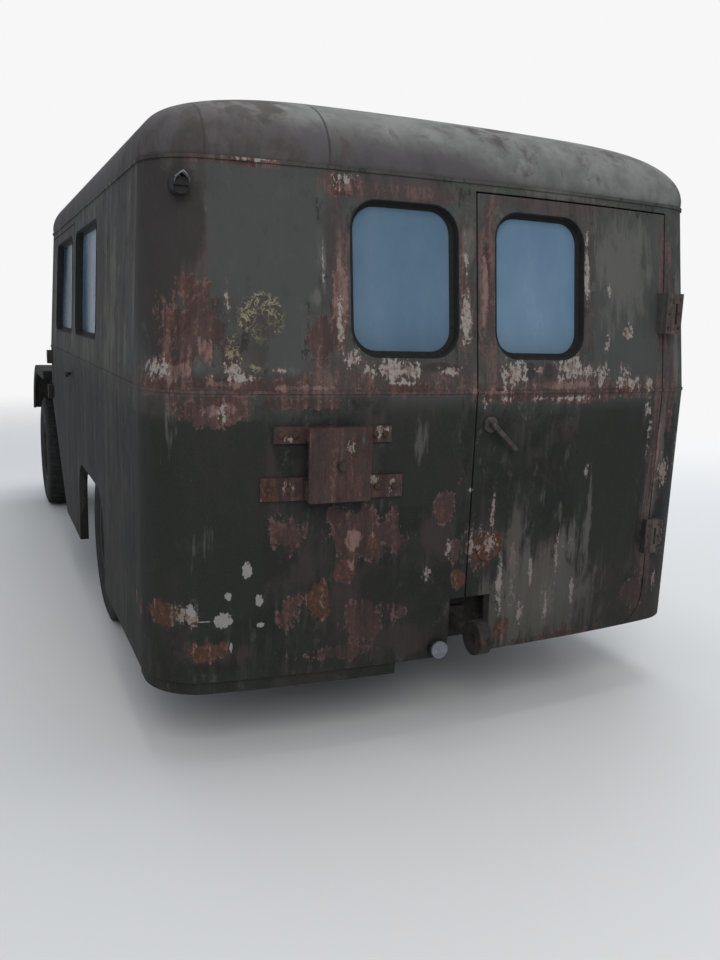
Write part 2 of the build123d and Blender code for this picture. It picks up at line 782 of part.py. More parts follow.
# Spare wheel bracket: two straps that follow the wall, and a square plate stood off them
strap_layer = walls(-STRAP_T, SILL_Z - 2.0) - walls(-SEAT_GAP, SILL_Z - 3.0)
with BuildPart() as spare_wheel_bracket:
    for low_x, high_x, low_z, high_z in STRAPS:
        add(strap_layer & along_y(rectangle(low_x, high_x, low_z, high_z), REAR_Y - WALL, REAR_SPLIT_Y))
    plate_low_x, plate_high_x, plate_low_z, plate_high_z = BRACKET_PLATE
    plate = rectangle(*BRACKET_PLATE)
    add(along_y(plate, REAR_Y - BRACKET_STAND - BRACKET_T, REAR_Y - BRACKET_STAND, BRACKET_R))
    for low_x, high_x in ((plate_low_x, plate_low_x + 24), (plate_high_x - 24, plate_high_x)):
        for z_low, z_high in ((plate_low_z + 8, plate_low_z + 66), (plate_high_z - 42, plate_high_z - 4)):
            web = rectangle(low_x, high_x, z_low, z_high)
            add(along_y(web, REAR_Y - BRACKET_STAND - 1, REAR_Y + WALL))
    add(clear_block, mode=Mode.SUBTRACT)
    mid_x = (plate_low_x + plate_high_x) / 2
    mid_z = (plate_low_z + plate_high_z) / 2
    stud_y = REAR_Y - BRACKET_STAND
    add(tube((mid_x, stud_y, mid_z), (mid_x, stud_y - STUD_LENGTH, mid_z), STUD_R))
spare_wheel_bracket.part.label = "spare_wheel_bracket"

# Floor with toe board, bearers, wheel housings, seat boxes and steering column
door_inner = HALF_WIDTH - WALL - GAP
toe_rise = TOE_T * math.sqrt(1 + CUT_SLOPE**2)
toe_y = CUT_START_Y + (FLOOR_LOW - SILL_Z) / CUT_SLOPE
floor_profile = [
    (REAR_Y, FLOOR_LOW),
    (toe_y, FLOOR_LOW),
    (CAB_Y, cut_line(CAB_Y)),
    (CAB_Y, cut_line(CAB_Y) + toe_rise),
    (toe_y + (FLOOR_TOP - FLOOR_LOW - toe_rise) / CUT_SLOPE, FLOOR_TOP),
    (REAR_Y, FLOOR_TOP),
]
rear_door_margin = walls(0.0) - walls(WALL + GAP, SILL_Z - 1.0)


def wheel_housing(side):
    """Half-round wheel box on the floor: an arched sheet closed by an inner wall."""
    low_x, high_x = sorted((side * HOUSING_X, side * HALF_WIDTH))
    inner_low_x, inner_high_x = sorted((side * (HOUSING_X + HOUSING_T), side * FAR_X))
    with BuildPart(mode=Mode.PRIVATE) as housing:
        with BuildSketch(Plane.YZ.offset(low_x)):
            with Locations((REAR_AXLE_Y, AXLE_Z)):
                Circle(HOUSING_R)
        extrude(amount=high_x - low_x)
        with BuildSketch(Plane.YZ.offset(inner_low_x)):
            with Locations((REAR_AXLE_Y, AXLE_Z)):
                Circle(HOUSING_R - HOUSING_T)
        extrude(amount=inner_high_x - inner_low_x, mode=Mode.SUBTRACT)
        add(block((-FAR_X, REAR_Y, 0), (FAR_X, CUT_START_Y, BEARER_LOW)), mode=Mode.SUBTRACT)
        add(seat_block, mode=Mode.INTERSECT)
    return housing.part


def housing_space(side):
    """The room that a wheel housing takes out of the floor."""
    low_x, high_x = sorted((side * (HOUSING_X - SEAT_GAP), side * FAR_X))
    with BuildPart(mode=Mode.PRIVATE) as space:
        with BuildSketch(Plane.YZ.offset(low_x)):
            with Locations((REAR_AXLE_Y, AXLE_Z)):
                Circle(HOUSING_R + SEAT_GAP)
        extrude(amount=high_x - low_x)
    return space.part


with BuildPart() as body_floor:
    add(along_x(floor_profile, -HALF_WIDTH, HALF_WIDTH))
    for y in BEARERS_Y:
        add(block((-HALF_WIDTH, y, BEARER_LOW), (HALF_WIDTH, y + BEARER_W, FLOOR_LOW)))
    add(block((-HALF_WIDTH, REAR_Y, 0), (HALF_WIDTH, CUT_START_Y, BEARER_LOW)), mode=Mode.SUBTRACT)
    for side in (-1, 1):
        add(housing_space(side), mode=Mode.SUBTRACT)
    add(seat_block, mode=Mode.INTERSECT)
    for side in (-1, 1):
        low_x, high_x = sorted((side * door_inner, side * FAR_X))
        margin = block((low_x, CAB_DOOR_REAR - GAP, 0), (high_x, CAB_DOOR_FRONT + 2 * GAP, SEAM_Z))
        add(margin, mode=Mode.SUBTRACT)
    door_low = REAR_DOOR_FREE_X - 2 * GAP
    door_high = REAR_DOOR_HINGE_X + 2 * GAP
    add(
        rear_door_margin & block((door_low, REAR_Y - WALL, 0), (door_high, REAR_SPLIT_Y, SEAM_Z)),
        mode=Mode.SUBTRACT,
    )
    for side in (-1, 1):
        low_x, high_x = sorted((side * (SEAT_X - SEAT_HALF + 20), side * (SEAT_X + SEAT_HALF - 20)))
        add(block((low_x, SEAT_REAR_Y + 20, FLOOR_TOP - 1), (high_x, SEAT_FRONT_Y - 40, SEAT_BASE_Z)))
    add(tube(COLUMN_FOOT, COLUMN_TOP, COLUMN_R))
    add(tube(COLUMN_FOOT, COLUMN_END, SHAFT_R))
    for side in (-1, 1):
        add(wheel_housing(side))
body_floor.part.label = "body_floor"

# Steering wheel on the end of its shaft
column_axis = (Vector(*COLUMN_TOP) - Vector(*COLUMN_FOOT)).normalized()
wheel_centre = Vector(*COLUMN_TOP) + column_axis * (STEER_HUB_L / 2 + 2.0)
steer_plane = Plane(origin=wheel_centre, x_dir=(1, 0, 0), z_dir=column_axis)
with BuildPart() as steering_wheel:
    with Locations(steer_plane):
        Torus(STEER_RIM_R, STEER_TUBE_R)
        Cylinder(STEER_HUB_R, STEER_HUB_L)
    for number in range(STEER_SPOKES):
        angle = math.radians(90 + number * 360 / STEER_SPOKES)
        inner = steer_plane.from_local_coords((20 * math.cos(angle), 20 * math.sin(angle), 0))
        outer = steer_plane.from_local_coords((STEER_RIM_R * math.cos(angle), STEER_RIM_R * math.sin(angle), 0))
        add(tube(tuple(inner), tuple(outer), STEER_SPOKE_R))
    with Locations(steer_plane):
        Cylinder(SHAFT_R + PIN_PLAY, 2 * STEER_HUB_L, mode=Mode.SUBTRACT)
steering_wheel.part.label = "steering_wheel"

# Seat pads
with BuildPart() as seat_cushions:
    for side in (-1, 1):
        low_x = side * SEAT_X - SEAT_HALF
        low = (low_x, SEAT_REAR_Y, SEAT_BASE_Z + SEAT_GAP)
        high = (low_x + 2 * SEAT_HALF, SEAT_FRONT_Y, SEAT_BASE_Z + SEAT_GAP + CUSHION_T)
        add(soft_block(low, high, SEAT_EDGE_R))
seat_cushions.part.label = "seat_cushions"

with BuildPart() as seat_backs:
    for side in (-1, 1):
        low_x = side * SEAT_X - SEAT_HALF
        low_z = SEAT_BASE_Z + 2 * SEAT_GAP + CUSHION_T
        high = (low_x + 2 * SEAT_HALF, SEAT_REAR_Y + BACK_T, low_z + BACK_H)
        add(soft_block((low_x, SEAT_REAR_Y - 10, low_z), high, SEAT_EDGE_R))
seat_backs.part.label = "seat_backs"


# Stretcher rack on the left: posts, two pairs of runners and cross slats
with BuildPart() as stretcher_rack:
    for y in (RACK_REAR_Y, RACK_MID_Y, RACK_FRONT_Y):
        columns = (RACK_INNER_X,) if y == RACK_MID_Y else (RACK_INNER_X, RACK_OUTER_X)
        for x in columns:
            add(block((x, y, FLOOR_TOP + SEAT_GAP), (x + RACK_BAR, y + RACK_BAR, RACK_TOP_Z)))
    for z in RACK_LEVELS:
        for x in (RACK_INNER_X, RACK_OUTER_X):
            add(block((x, RACK_REAR_Y, z), (x + RACK_BAR, RACK_FRONT_Y + RACK_BAR, z + RACK_BAR)))
        for number in range(RACK_SLATS):
            y = RACK_REAR_Y + (RACK_FRONT_Y - RACK_REAR_Y) * number / (RACK_SLATS - 1)
            add(block((RACK_OUTER_X, y, z), (RACK_INNER_X, y + RACK_BAR, z + RACK_BAR / 2)))
stretcher_rack.part.label = "stretcher_rack"


# Ladder frame: channel rails, crossmembers and the rear drawbar plate
rail_points = [
    (RAIL_IN, RAIL_LOW),
    (RAIL_OUT, RAIL_LOW),
    (RAIL_OUT, RAIL_TOP),
    (RAIL_IN, RAIL_TOP),
    (RAIL_IN, RAIL_TOP - RAIL_T),
    (RAIL_OUT - RAIL_T, RAIL_TOP - RAIL_T),
    (RAIL_OUT - RAIL_T, RAIL_LOW + RAIL_T),
    (RAIL_IN, RAIL_LOW + RAIL_T),
]
spring_radius = (SPRING_HALF**2 + SPRING_RISE**2) / (2 * SPRING_RISE)
spring_centre_z = SPRING_TOP + spring_radius
eye_angle = math.asin(SPRING_HALF / spring_radius)
eye_z = spring_centre_z - (spring_radius + LEAF_T / 2) * math.cos(eye_angle)
eye_y = (spring_radius + LEAF_T / 2) * math.sin(eye_angle)
with BuildPart() as chassis_frame:
    rail = along_y(rail_points, RAIL_REAR, RAIL_FRONT)
    add(rail)
    add(mirrored(rail))
    for y in CROSSMEMBERS_Y:
        add(block((RAIL_T - RAIL_OUT, y, CROSS_LOW), (RAIL_OUT - RAIL_T, y + CROSS_W, CROSS_TOP)))
    add(block((-RAIL_OUT, RAIL_REAR, RAIL_LOW), (RAIL_OUT, RAIL_REAR + DRAWBAR_T, RAIL_TOP)))
    add(block((-DRAWBAR_HALF, RAIL_REAR, DRAWBAR_LOW), (DRAWBAR_HALF, RAIL_REAR + DRAWBAR_T, RAIL_TOP)))
    for side in (-1, 1):
        for axle_y in (REAR_AXLE_Y, FRONT_AXLE_Y):
            for end in (-1, 1):
                pin_y = axle_y + end * eye_y
                start = (side * (RAIL_OUT - RAIL_T), pin_y, eye_z)
                add(tube(start, (side * (SPRING_X + SPRING_W / 2 + 6), pin_y, eye_z), SPRING_PIN_R))
chassis_frame.part.label = "chassis_frame"


def leaf_spring(side, axle_y):
    """A pack of leaves bent to one centre, the longest on top with an eye at each end."""
    centre = (axle_y, spring_centre_z)
    with BuildPart(mode=Mode.PRIVATE) as spring:
        with BuildSketch(Plane.YZ.offset(side * SPRING_X - SPRING_W / 2)):
            for leaf in range(LEAVES):
                inner = spring_radius + leaf * LEAF_T
                half_angle = math.degrees(eye_angle) * (1 - leaf / LEAVES)
                with BuildLine():
                    upper = CenterArc(centre, inner, -90 - half_angle, 2 * half_angle)
                    lower = CenterArc(centre, inner + LEAF_T, -90 - half_angle, 2 * half_angle)
                    Line(upper @ 0, lower @ 0)
                    Line(upper @ 1, lower @ 1)
                make_face()
            with Locations((axle_y - eye_y, eye_z), (axle_y + eye_y, eye_z)):
                Circle(EYE_R)
                Circle(SPRING_PIN_R + SEAT_GAP, mode=Mode.SUBTRACT)
        extrude(amount=SPRING_W)
    return spring.part


with BuildPart() as leaf_springs:
    for side in (-1, 1):
        for axle_y in (REAR_AXLE_Y, FRONT_AXLE_Y):
            add(leaf_spring(side, axle_y))
leaf_springs.part.label = "leaf_springs"


def axle_beam(y, diff_x, tube_end, nose):
    """Axle tube with its differential, pinion nose and spring pads. nose is +1 where the pinion faces forward."""
    pad_top = SPRING_TOP - LEAVES * LEAF_T - SEAT_GAP
    with BuildPart(mode=Mode.PRIVATE) as beam:
        add(tube((-tube_end, y, AXLE_Z), (tube_end, y, AXLE_Z), AXLE_R))
        with Locations((diff_x, y, AXLE_Z)):
            Sphere(DIFF_R)
        add(tube((diff_x, y, AXLE_Z), (diff_x, y + nose * PINION_REACH, AXLE_Z), PINION_R))
        for side in (-1, 1):
            x = side * SPRING_X
            pad_half = SPRING_W / 2
            add(block((x - pad_half, y - PAD_HALF, AXLE_Z), (x + pad_half, y + PAD_HALF, pad_top)))
    return beam.part


rear_plate_x = REAR_WHEEL_X - BACKING_IN - BACKING_T
with BuildPart() as rear_axle:
    add(axle_beam(REAR_AXLE_Y, 0.0, rear_plate_x, 1))
    for side in (-1, 1):
        inner = (side * rear_plate_x, REAR_AXLE_Y, AXLE_Z)
        outer = (side * (rear_plate_x + BACKING_T), REAR_AXLE_Y, AXLE_Z)
        end = (side * (REAR_WHEEL_X + SPINDLE_REACH), REAR_AXLE_Y, AXLE_Z)
        add(tube(inner, outer, BACKING_R))
        add(tube(inner, end, SPINDLE_R))
rear_axle.part.label = "rear_axle"

with BuildPart() as front_axle:
    add(axle_beam(FRONT_AXLE_Y, FRONT_DIFF_X, KINGPIN_X, -1))
    for side in (-1, 1):
        with Locations((side * KINGPIN_X, FRONT_AXLE_Y, AXLE_Z)):
            Sphere(KNUCKLE_BALL_R)
            Cylinder(KINGPIN_R + PIN_PLAY, 4 * KNUCKLE_BALL_R, mode=Mode.SUBTRACT)
        low_x, high_x = sorted((side * (KINGPIN_X - 2 * KNUCKLE_BALL_R), side * FAR_X))
        for low_z, high_z in (
            (AXLE_Z + BALL_FLAT, AXLE_Z + 2 * KNUCKLE_BALL_R),
            (AXLE_Z - 2 * KNUCKLE_BALL_R, AXLE_Z - BALL_FLAT),
        ):
            flat = block((low_x, FRONT_AXLE_Y - AXLE_Z, low_z), (high_x, FRONT_AXLE_Y + AXLE_Z, high_z))
            add(flat, mode=Mode.SUBTRACT)
front_axle.part.label = "front_axle"


def knuckle(side):
    """Steering knuckle: backing plate, two arms with kingpins, spindle and the arm for the track rod."""
    plate_x = FRONT_WHEEL_X - BACKING_IN - BACKING_T
    arm_y = FRONT_AXLE_Y - STEER_ARM
    with BuildPart(mode=Mode.PRIVATE) as body:
        inner = (side * plate_x, FRONT_AXLE_Y, AXLE_Z)
        add(tube(inner, (side * (plate_x + BACKING_T), FRONT_AXLE_Y, AXLE_Z), BACKING_R))
        add(tube(inner, (side * (FRONT_WHEEL_X + SPINDLE_REACH), FRONT_AXLE_Y, AXLE_Z), SPINDLE_R))
        for end in (-1, 1):
            near = AXLE_Z + end * ARM_OFF
            far = near + end * ARM_T
            low_z, high_z = sorted((near, far))
            low_x, high_x = sorted((side * (KINGPIN_X - ARM_HALF), side * (plate_x + 1)))
            arm = block((low_x, FRONT_AXLE_Y - ARM_HALF, low_z), (high_x, FRONT_AXLE_Y + ARM_HALF, high_z))
            add(arm)
            pin_x = side * KINGPIN_X
            inside = AXLE_Z + end * BALL_FLAT / 2
            add(tube((pin_x, FRONT_AXLE_Y, inside), (pin_x, FRONT_AXLE_Y, far), KINGPIN_R))
        pin_x = side * KINGPIN_X
        arm_low = AXLE_Z - ARM_OFF - ARM_T
        lever_low = (pin_x - STEER_ARM_HALF, arm_y - STEER_ARM_HALF, arm_low)
        add(block(lever_low, (pin_x + STEER_ARM_HALF, FRONT_AXLE_Y, arm_low + ARM_T)))
        add(tube((pin_x, arm_y, arm_low + 1), (pin_x, arm_y, TIE_ROD_Z - TIE_EYE_H), TIE_PIN_R))
    return body.part


with BuildPart() as knuckle_left:
    add(knuckle(-1))
knuckle_left.part.label = "knuckle_left"

with BuildPart() as knuckle_right:
    add(knuckle(1))
knuckle_right.part.label = "knuckle_right"

with BuildPart() as tie_rod:
    rod_y = FRONT_AXLE_Y - STEER_ARM
    add(tube((-KINGPIN_X, rod_y, TIE_ROD_Z), (KINGPIN_X, rod_y, TIE_ROD_Z), TIE_ROD_R))
    for side in (-1, 1):
        x = side * KINGPIN_X
        eye = tube((x, rod_y, TIE_ROD_Z - TIE_EYE_H / 2), (x, rod_y, TIE_ROD_Z + TIE_EYE_H / 2), TIE_EYE_R)
        add(eye)
    for side in (-1, 1):
        x = side * KINGPIN_X
        bore = tube((x, rod_y, TIE_ROD_Z - TIE_EYE_H), (x, rod_y, TIE_ROD_Z + TIE_EYE_H), TIE_PIN_R + PIN_PLAY)
        add(bore, mode=Mode.SUBTRACT)
tie_rod.part.label = "tie_rod"


def wheel_plane(side, x, y):
    """Plane through a wheel's centre: x points outboard along the axle, y up."""
    return Plane(origin=(side * x, y, AXLE_Z), x_dir=(side, 0, 0), z_dir=(0, -side, 0))


RIM_PROFILE = [
    (-RIM_HALF_W - RIM_T, RIM_R + RIM_LIP),
    (-RIM_HALF_W, RIM_R + RIM_LIP),
    (-RIM_HALF_W, RIM_R),
    (RIM_HALF_W, RIM_R),
    (RIM_HALF_W, RIM_R + RIM_LIP),
    (RIM_HALF_W + RIM_T, RIM_R + RIM_LIP),
    (RIM_HALF_W + RIM_T, RIM_R - RIM_T),
    (-RIM_HALF_W - RIM_T, RIM_R - RIM_T),
]
DISC_PROFILE = [
    (DISC_OUT, RIM_R - 2),
    (DISC_OUT + DISC_T, RIM_R - 2),
    (DISC_OUT + DISC_T, DISC_BEND_R),
    (DISC_IN + DISC_T, DISC_FLAT_R),
    (DISC_IN + DISC_T, HUB_R - 4),
    (DISC_IN, HUB_R - 4),
    (DISC_IN, DISC_FLAT_R + 3),
    (DISC_OUT, DISC_BEND_R + 4),
]
DRUM_PROFILE = [
    (-DRUM_IN, DRUM_R),
    (DISC_IN, DRUM_R),
    (DISC_IN, HUB_R - 4),
    (DISC_IN - DRUM_T, HUB_R - 4),
    (DISC_IN - DRUM_T, DRUM_R - DRUM_T),
    (-DRUM_IN, DRUM_R - DRUM_T),
]
HUB_PROFILE = [
    (-HUB_IN, SPINDLE_R + PIN_PLAY),
    (-HUB_IN, HUB_R),
    (HUB_OUT - 8, HUB_R),
    (HUB_OUT, HUB_R - 10),
    (HUB_OUT, 0),
    (SPINDLE_REACH + 4, 0),
    (SPINDLE_REACH + 4, SPINDLE_R + PIN_PLAY),
]


def wheel_disc(side, x, y):
    """Wheel with rim, dished disc with hand holes, brake drum and hub."""
    plane = wheel_plane(side, x, y)
    with BuildPart(mode=Mode.PRIVATE) as wheel:
        with BuildSketch(plane):
            for profile in (RIM_PROFILE, DISC_PROFILE, DRUM_PROFILE, HUB_PROFILE):
                with BuildLine():
                    Polyline(*profile, close=True)
                make_face()
        revolve(axis=Axis(plane.origin, plane.x_dir))
        hole_plane = Plane(origin=plane.from_local_coords((DISC_IN + 1, 0, 0)), z_dir=(side, 0, 0))
        with BuildSketch(hole_plane):
            with PolarLocations(HAND_HOLE_PCD_R, HAND_HOLES):
                Circle(HAND_HOLE_R)
        extrude(amount=DISC_OUT + DISC_T, mode=Mode.SUBTRACT)
    return wheel.part


def tyre(side, x, y):
    """Tyre with rounded walls, from the rim's seat out to the tread."""
    plane = wheel_plane(side, x, y)
    with BuildPart(mode=Mode.PRIVATE) as solid:
        with BuildSketch(plane):
            with BuildLine():
                bead = RIM_HALF_W - SEAT_GAP
                seat_r = RIM_R + SEAT_GAP
                lip_r = RIM_R + RIM_LIP
                Line((-bead, seat_r), (bead, seat_r))
                Line((bead, seat_r), (bead, lip_r))
                wall = ThreePointArc((bead, lip_r), (TYRE_HALF_W, TYRE_WIDEST_R), (TYRE_SHOULDER_W, TYRE_SHOULDER_R))
                ThreePointArc((TYRE_SHOULDER_W, TYRE_SHOULDER_R), (0, TYRE_R), (-TYRE_SHOULDER_W, TYRE_SHOULDER_R))
                mirror(wall, about=Plane.YZ)
                Line((-bead, lip_r), (-bead, seat_r))
            make_face()
        revolve(axis=Axis(plane.origin, plane.x_dir))
    return solid.part


# Wheels: name of the corner, side, wheel centre x, axle y
CORNERS = [
    ("front_left", -1, FRONT_WHEEL_X, FRONT_AXLE_Y),
    ("front_right", 1, FRONT_WHEEL_X, FRONT_AXLE_Y),
    ("rear_left", -1, REAR_WHEEL_X, REAR_AXLE_Y),
    ("rear_right", 1, REAR_WHEEL_X, REAR_AXLE_Y),
]
wheels = []
for corner, side, x, y in CORNERS:
    with BuildPart() as disc:
        right_wheel = wheel_disc(1, x, y)
        add(right_wheel if side > 0 else mirrored(right_wheel))
    disc.part.label = f"wheel_{corner}"
    wheels.append(disc)
    with BuildPart() as rubber:
        add(tyre(side, x, y))
    rubber.part.label = f"tyre_{corner}"
    wheels.append(rubber)


# Front end: bonnet, grille, fenders, bumper
with BuildPart() as bonnet:
    outer = [bonnet_section(*row[1:], BONNET_LOW, row[0]) for row in (BONNET_REAR, BONNET_FRONT)]
    loft(outer, ruled=True)
    inner = [bonnet_section(*row[1:], BONNET_LOW - 1, row[0], BONNET_T) for row in (BONNET_INNER_REAR, BONNET_INNER_FRONT)]
    loft(inner, ruled=True, mode=Mode.SUBTRACT)
    add(bonnet_hinge_half(False))
bonnet.part.label = "bonnet"

grille_front = BONNET_FRONT[1:]
with BuildPart() as radiator_grille:
    add(extrude(bonnet_section(*grille_front, GRILLE_LOW, GRILLE_Y), amount=-GRILLE_DEPTH))
    opening = bonnet_section(*grille_front, GRILLE_LOW + GRILLE_FRAME, GRILLE_Y - 1, GRILLE_FRAME)
    add(extrude(opening, amount=-GRILLE_DEPTH - 2), mode=Mode.SUBTRACT)
    slat_span = 2 * (BONNET_FRONT[1] - GRILLE_FRAME)
    slat_space = extrude(
        bonnet_section(*grille_front, GRILLE_LOW + GRILLE_FRAME - 5, GRILLE_Y + SLAT_BACK, GRILLE_FRAME - 5),
        amount=-SLAT_DEPTH,
    )
    for number in range(SLATS):
        x = -slat_span / 2 + slat_span * (number + 1) / (SLATS + 1)
        slat = block((x - SLAT_W / 2, GRILLE_Y, GRILLE_LOW), (x + SLAT_W / 2, GRILLE_Y + GRILLE_DEPTH, SEAM_Z))
        add(slat & slat_space)
    for side in (-1, 1):
        low_x, high_x = sorted((side * (BONNET_FRONT[1] - 50), side * BONNET_FRONT[1]))
        add(block((low_x, GRILLE_Y, RAIL_TOP + SEAT_GAP), (high_x, GRILLE_Y + GRILLE_DEPTH, GRILLE_LOW + 1)))
radiator_grille.part.label = "radiator_grille"


def fender_profile(inset):
    """Side outline of the space under the fender: flat top running into a quarter round."""
    top = FENDER_TOP - inset
    centre_z = FENDER_TOP - FENDER_R
    with BuildSketch(Plane.YZ, mode=Mode.PRIVATE) as outline:
        with BuildLine():
            Line((CAB_Y + SEAT_GAP, centre_z), (CAB_Y + SEAT_GAP, top))
            Line((CAB_Y + SEAT_GAP, top), (FENDER_FLAT_Y, top))
            CenterArc((FENDER_FLAT_Y, centre_z), FENDER_R - inset, 0, 90)
            Line((FENDER_FLAT_Y + FENDER_R - inset, centre_z), (CAB_Y + SEAT_GAP, centre_z))
        make_face()
    return outline.sketch


apron_rear = BONNET_REAR[1]
apron_front = BONNET_FRONT[1]
apron_low_y = SCUTTLE_Y + SEAT_GAP
apron_high_y = GRILLE_Y - SEAT_GAP
apron_plan = [
    (apron_rear, apron_low_y),
    (apron_front, apron_high_y),
    (apron_front - APRON_T, apron_high_y),
    (apron_rear - APRON_T, apron_low_y),
]
fender_plan = [
    (apron_rear + 2.0, 0.0),
    (FENDER_OUT, 0.0),
    (FENDER_OUT, FRONT_Y),
    (apron_front + 3.0, FRONT_Y),
    (apron_front + 3.0, apron_high_y),
    (apron_front - APRON_T / 2, apron_high_y),
    (apron_rear - APRON_T / 2, apron_low_y),
    (apron_rear + 2.0, apron_low_y),
]
with BuildPart() as fender:
    add(extrude(fender_profile(0.0), amount=FENDER_OUT))
    add(extrude(fender_profile(FENDER_T), amount=FENDER_OUT - FENDER_T), mode=Mode.SUBTRACT)
    add(extrude(fender_profile(FENDER_LIP), amount=FENDER_OUT + 1), mode=Mode.SUBTRACT)
    add(along_z(fender_plan, FENDER_END_Z, SEAM_Z), mode=Mode.INTERSECT)
    add(along_z(apron_plan, APRON_LOW, BONNET_LOW - GAP))
with BuildPart() as front_fenders:
    add(fender.part)
    add(mirrored(fender.part))
front_fenders.part.label = "front_fenders"

bumper_points = [
    (FRONT_Y - BUMPER_DEPTH, BUMPER_LOW),
    (FRONT_Y, BUMPER_LOW),
    (FRONT_Y, BUMPER_LOW + BUMPER_H),
    (FRONT_Y - BUMPER_DEPTH, BUMPER_LOW + BUMPER_H),
    (FRONT_Y - BUMPER_DEPTH, BUMPER_LOW + BUMPER_H - BUMPER_T),
    (FRONT_Y - BUMPER_T, BUMPER_LOW + BUMPER_H - BUMPER_T),
    (FRONT_Y - BUMPER_T, BUMPER_LOW + BUMPER_T),
    (FRONT_Y - BUMPER_DEPTH, BUMPER_LOW + BUMPER_T),
]
with BuildPart() as front_bumper:
    add(along_x(bumper_points, -BUMPER_HALF, BUMPER_HALF))
    for side in (-1, 1):
        low_x, high_x = sorted((side * RAIL_IN, side * RAIL_OUT))
        low_y = RAIL_FRONT + SEAT_GAP
        add(block((low_x, low_y, BUMPER_LOW + 1), (high_x, FRONT_Y - 1, BUMPER_LOW + BUMPER_H - 1)))
front_bumper.part.label = "front_bumper"

LAMP_PROFILE = [
    (0.0, 0.0),
    (0.0, LAMP_R * 0.45),
    (LAMP_DEPTH * 0.35, LAMP_R * 0.85),
    (LAMP_DEPTH - 30, LAMP_R - 6),
    (LAMP_DEPTH - 30, LAMP_R),
    (LAMP_DEPTH, LAMP_R),
    (LAMP_DEPTH, LAMP_R - 10),
    (LAMP_DEPTH - 12, LAMP_R - 10),
    (LAMP_DEPTH - 12, 0.0),
]
LENS_PROFILE = [
    (LAMP_DEPTH - 12 + SEAT_GAP, 0.0),
    (LAMP_DEPTH - 12 + SEAT_GAP, LAMP_R - 10 - SEAT_GAP),
    (LAMP_DEPTH - 4, LAMP_R - 10 - SEAT_GAP),
    (LAMP_DEPTH + 6, LAMP_R * 0.5),
    (LAMP_DEPTH + 9, 0.0),
]


def lamp_plane(side):
    return Plane(origin=(side * LAMP_X, LAMP_REAR_Y, LAMP_Z), x_dir=(0, 1, 0), z_dir=(1, 0, 0))


with BuildPart() as headlamps:
    for side in (-1, 1):
        add(turned(lamp_plane(side), LAMP_PROFILE))
        foot = (side * LAMP_X, LAMP_REAR_Y + LAMP_DEPTH / 2, FENDER_TOP + SEAT_GAP)
        add(tube(foot, (foot[0], foot[1], LAMP_Z - LAMP_R * 0.7), LAMP_FOOT_R))
headlamps.part.label = "headlamps"

with BuildPart() as rear_lamps:
    add(tube((TAIL_LAMP_X, TAIL_LAMP_Y, TAIL_LAMP_Z), (TAIL_LAMP_X, REAR_Y + WALL, TAIL_LAMP_Z), TAIL_LAMP_R))
    marker_end = (MARKER_X, REAR_SPLIT_Y - 60, MARKER_Z)
    add(tube((MARKER_X, MARKER_Y, MARKER_Z), marker_end, MARKER_R))
    hood = rectangle(MARKER_X - MARKER_R, MARKER_X + MARKER_R, MARKER_Z, MARKER_Z + MARKER_R)
    add(along_y(hood, MARKER_Y - 8, REAR_SPLIT_Y - 60, 0.0))
    add(clear_block, mode=Mode.SUBTRACT)
rear_lamps.part.label = "rear_lamps"

with BuildPart() as lamp_glass:
    for side in (-1, 1):
        add(turned(lamp_plane(side), LENS_PROFILE))
    lens_y = TAIL_LAMP_Y - SEAT_GAP
    add(tube((TAIL_LAMP_X, lens_y, TAIL_LAMP_Z), (TAIL_LAMP_X, lens_y - 8, TAIL_LAMP_Z), TAIL_LAMP_R - 3))
lamp_glass.part.label = "lamp_glass"

# Engine with radiator core, gearbox, transfer case and shafts
with BuildPart() as engine_and_drive:
    add(block((-ENGINE_HALF, ENGINE_REAR, ENGINE_LOW), (ENGINE_HALF, ENGINE_FRONT, ENGINE_TOP)))
    for y in (ENGINE_REAR + 60, ENGINE_FRONT - 120):
        add(block((-RAIL_IN + SEAT_GAP, y, ENGINE_LOW), (RAIL_IN - SEAT_GAP, y + 60, RAIL_TOP - RAIL_T - 1)))
    core_high = GRILLE_Y - SEAT_GAP
    add(block((-CORE_HALF, core_high - CORE_DEPTH, CORE_LOW), (CORE_HALF, core_high, CORE_TOP)))
    add(block((-60, ENGINE_FRONT - 1, CORE_LOW + 60), (60, core_high - CORE_DEPTH + 1, CORE_LOW + 160)))
    add(block((-GEARBOX_HALF, GEARBOX_REAR, GEARBOX_LOW), (GEARBOX_HALF, ENGINE_REAR + 1, GEARBOX_TOP)))
    add(block((TRANSFER_LEFT, TRANSFER_REAR, TRANSFER_LOW), (TRANSFER_RIGHT, TRANSFER_FRONT, TRANSFER_TOP)))
    mid_y = (TRANSFER_REAR + TRANSFER_FRONT) / 2
    lug_high = (RAIL_IN - SEAT_GAP, mid_y + 30, CROSS_TOP)
    add(block((-RAIL_IN + SEAT_GAP, mid_y - 30, CROSS_TOP - 30), lug_high))
    gearbox_out = (0, GEARBOX_REAR + 1, GEARBOX_LOW + 40)
    add(tube((0, TRANSFER_FRONT - 1, TRANSFER_TOP - 40), gearbox_out, SHAFT_TUBE_R))
    for x, z, start, pinion, nose in (
        (0.0, REAR_OUT_Z, TRANSFER_REAR, REAR_AXLE_Y + PINION_REACH, 1),
        (FRONT_DIFF_X, FRONT_OUT_Z, TRANSFER_FRONT, FRONT_AXLE_Y - PINION_REACH, -1),
    ):
        flange = pinion + nose * SEAT_GAP
        add(tube((x, flange, AXLE_Z), (x, flange + nose * FLANGE_T, AXLE_Z), FLANGE_R))
        add(tube((x, flange + nose * FLANGE_T / 2, AXLE_Z), (x, start + nose * 2, z), SHAFT_TUBE_R))
engine_and_drive.part.label = "engine_and_drive"

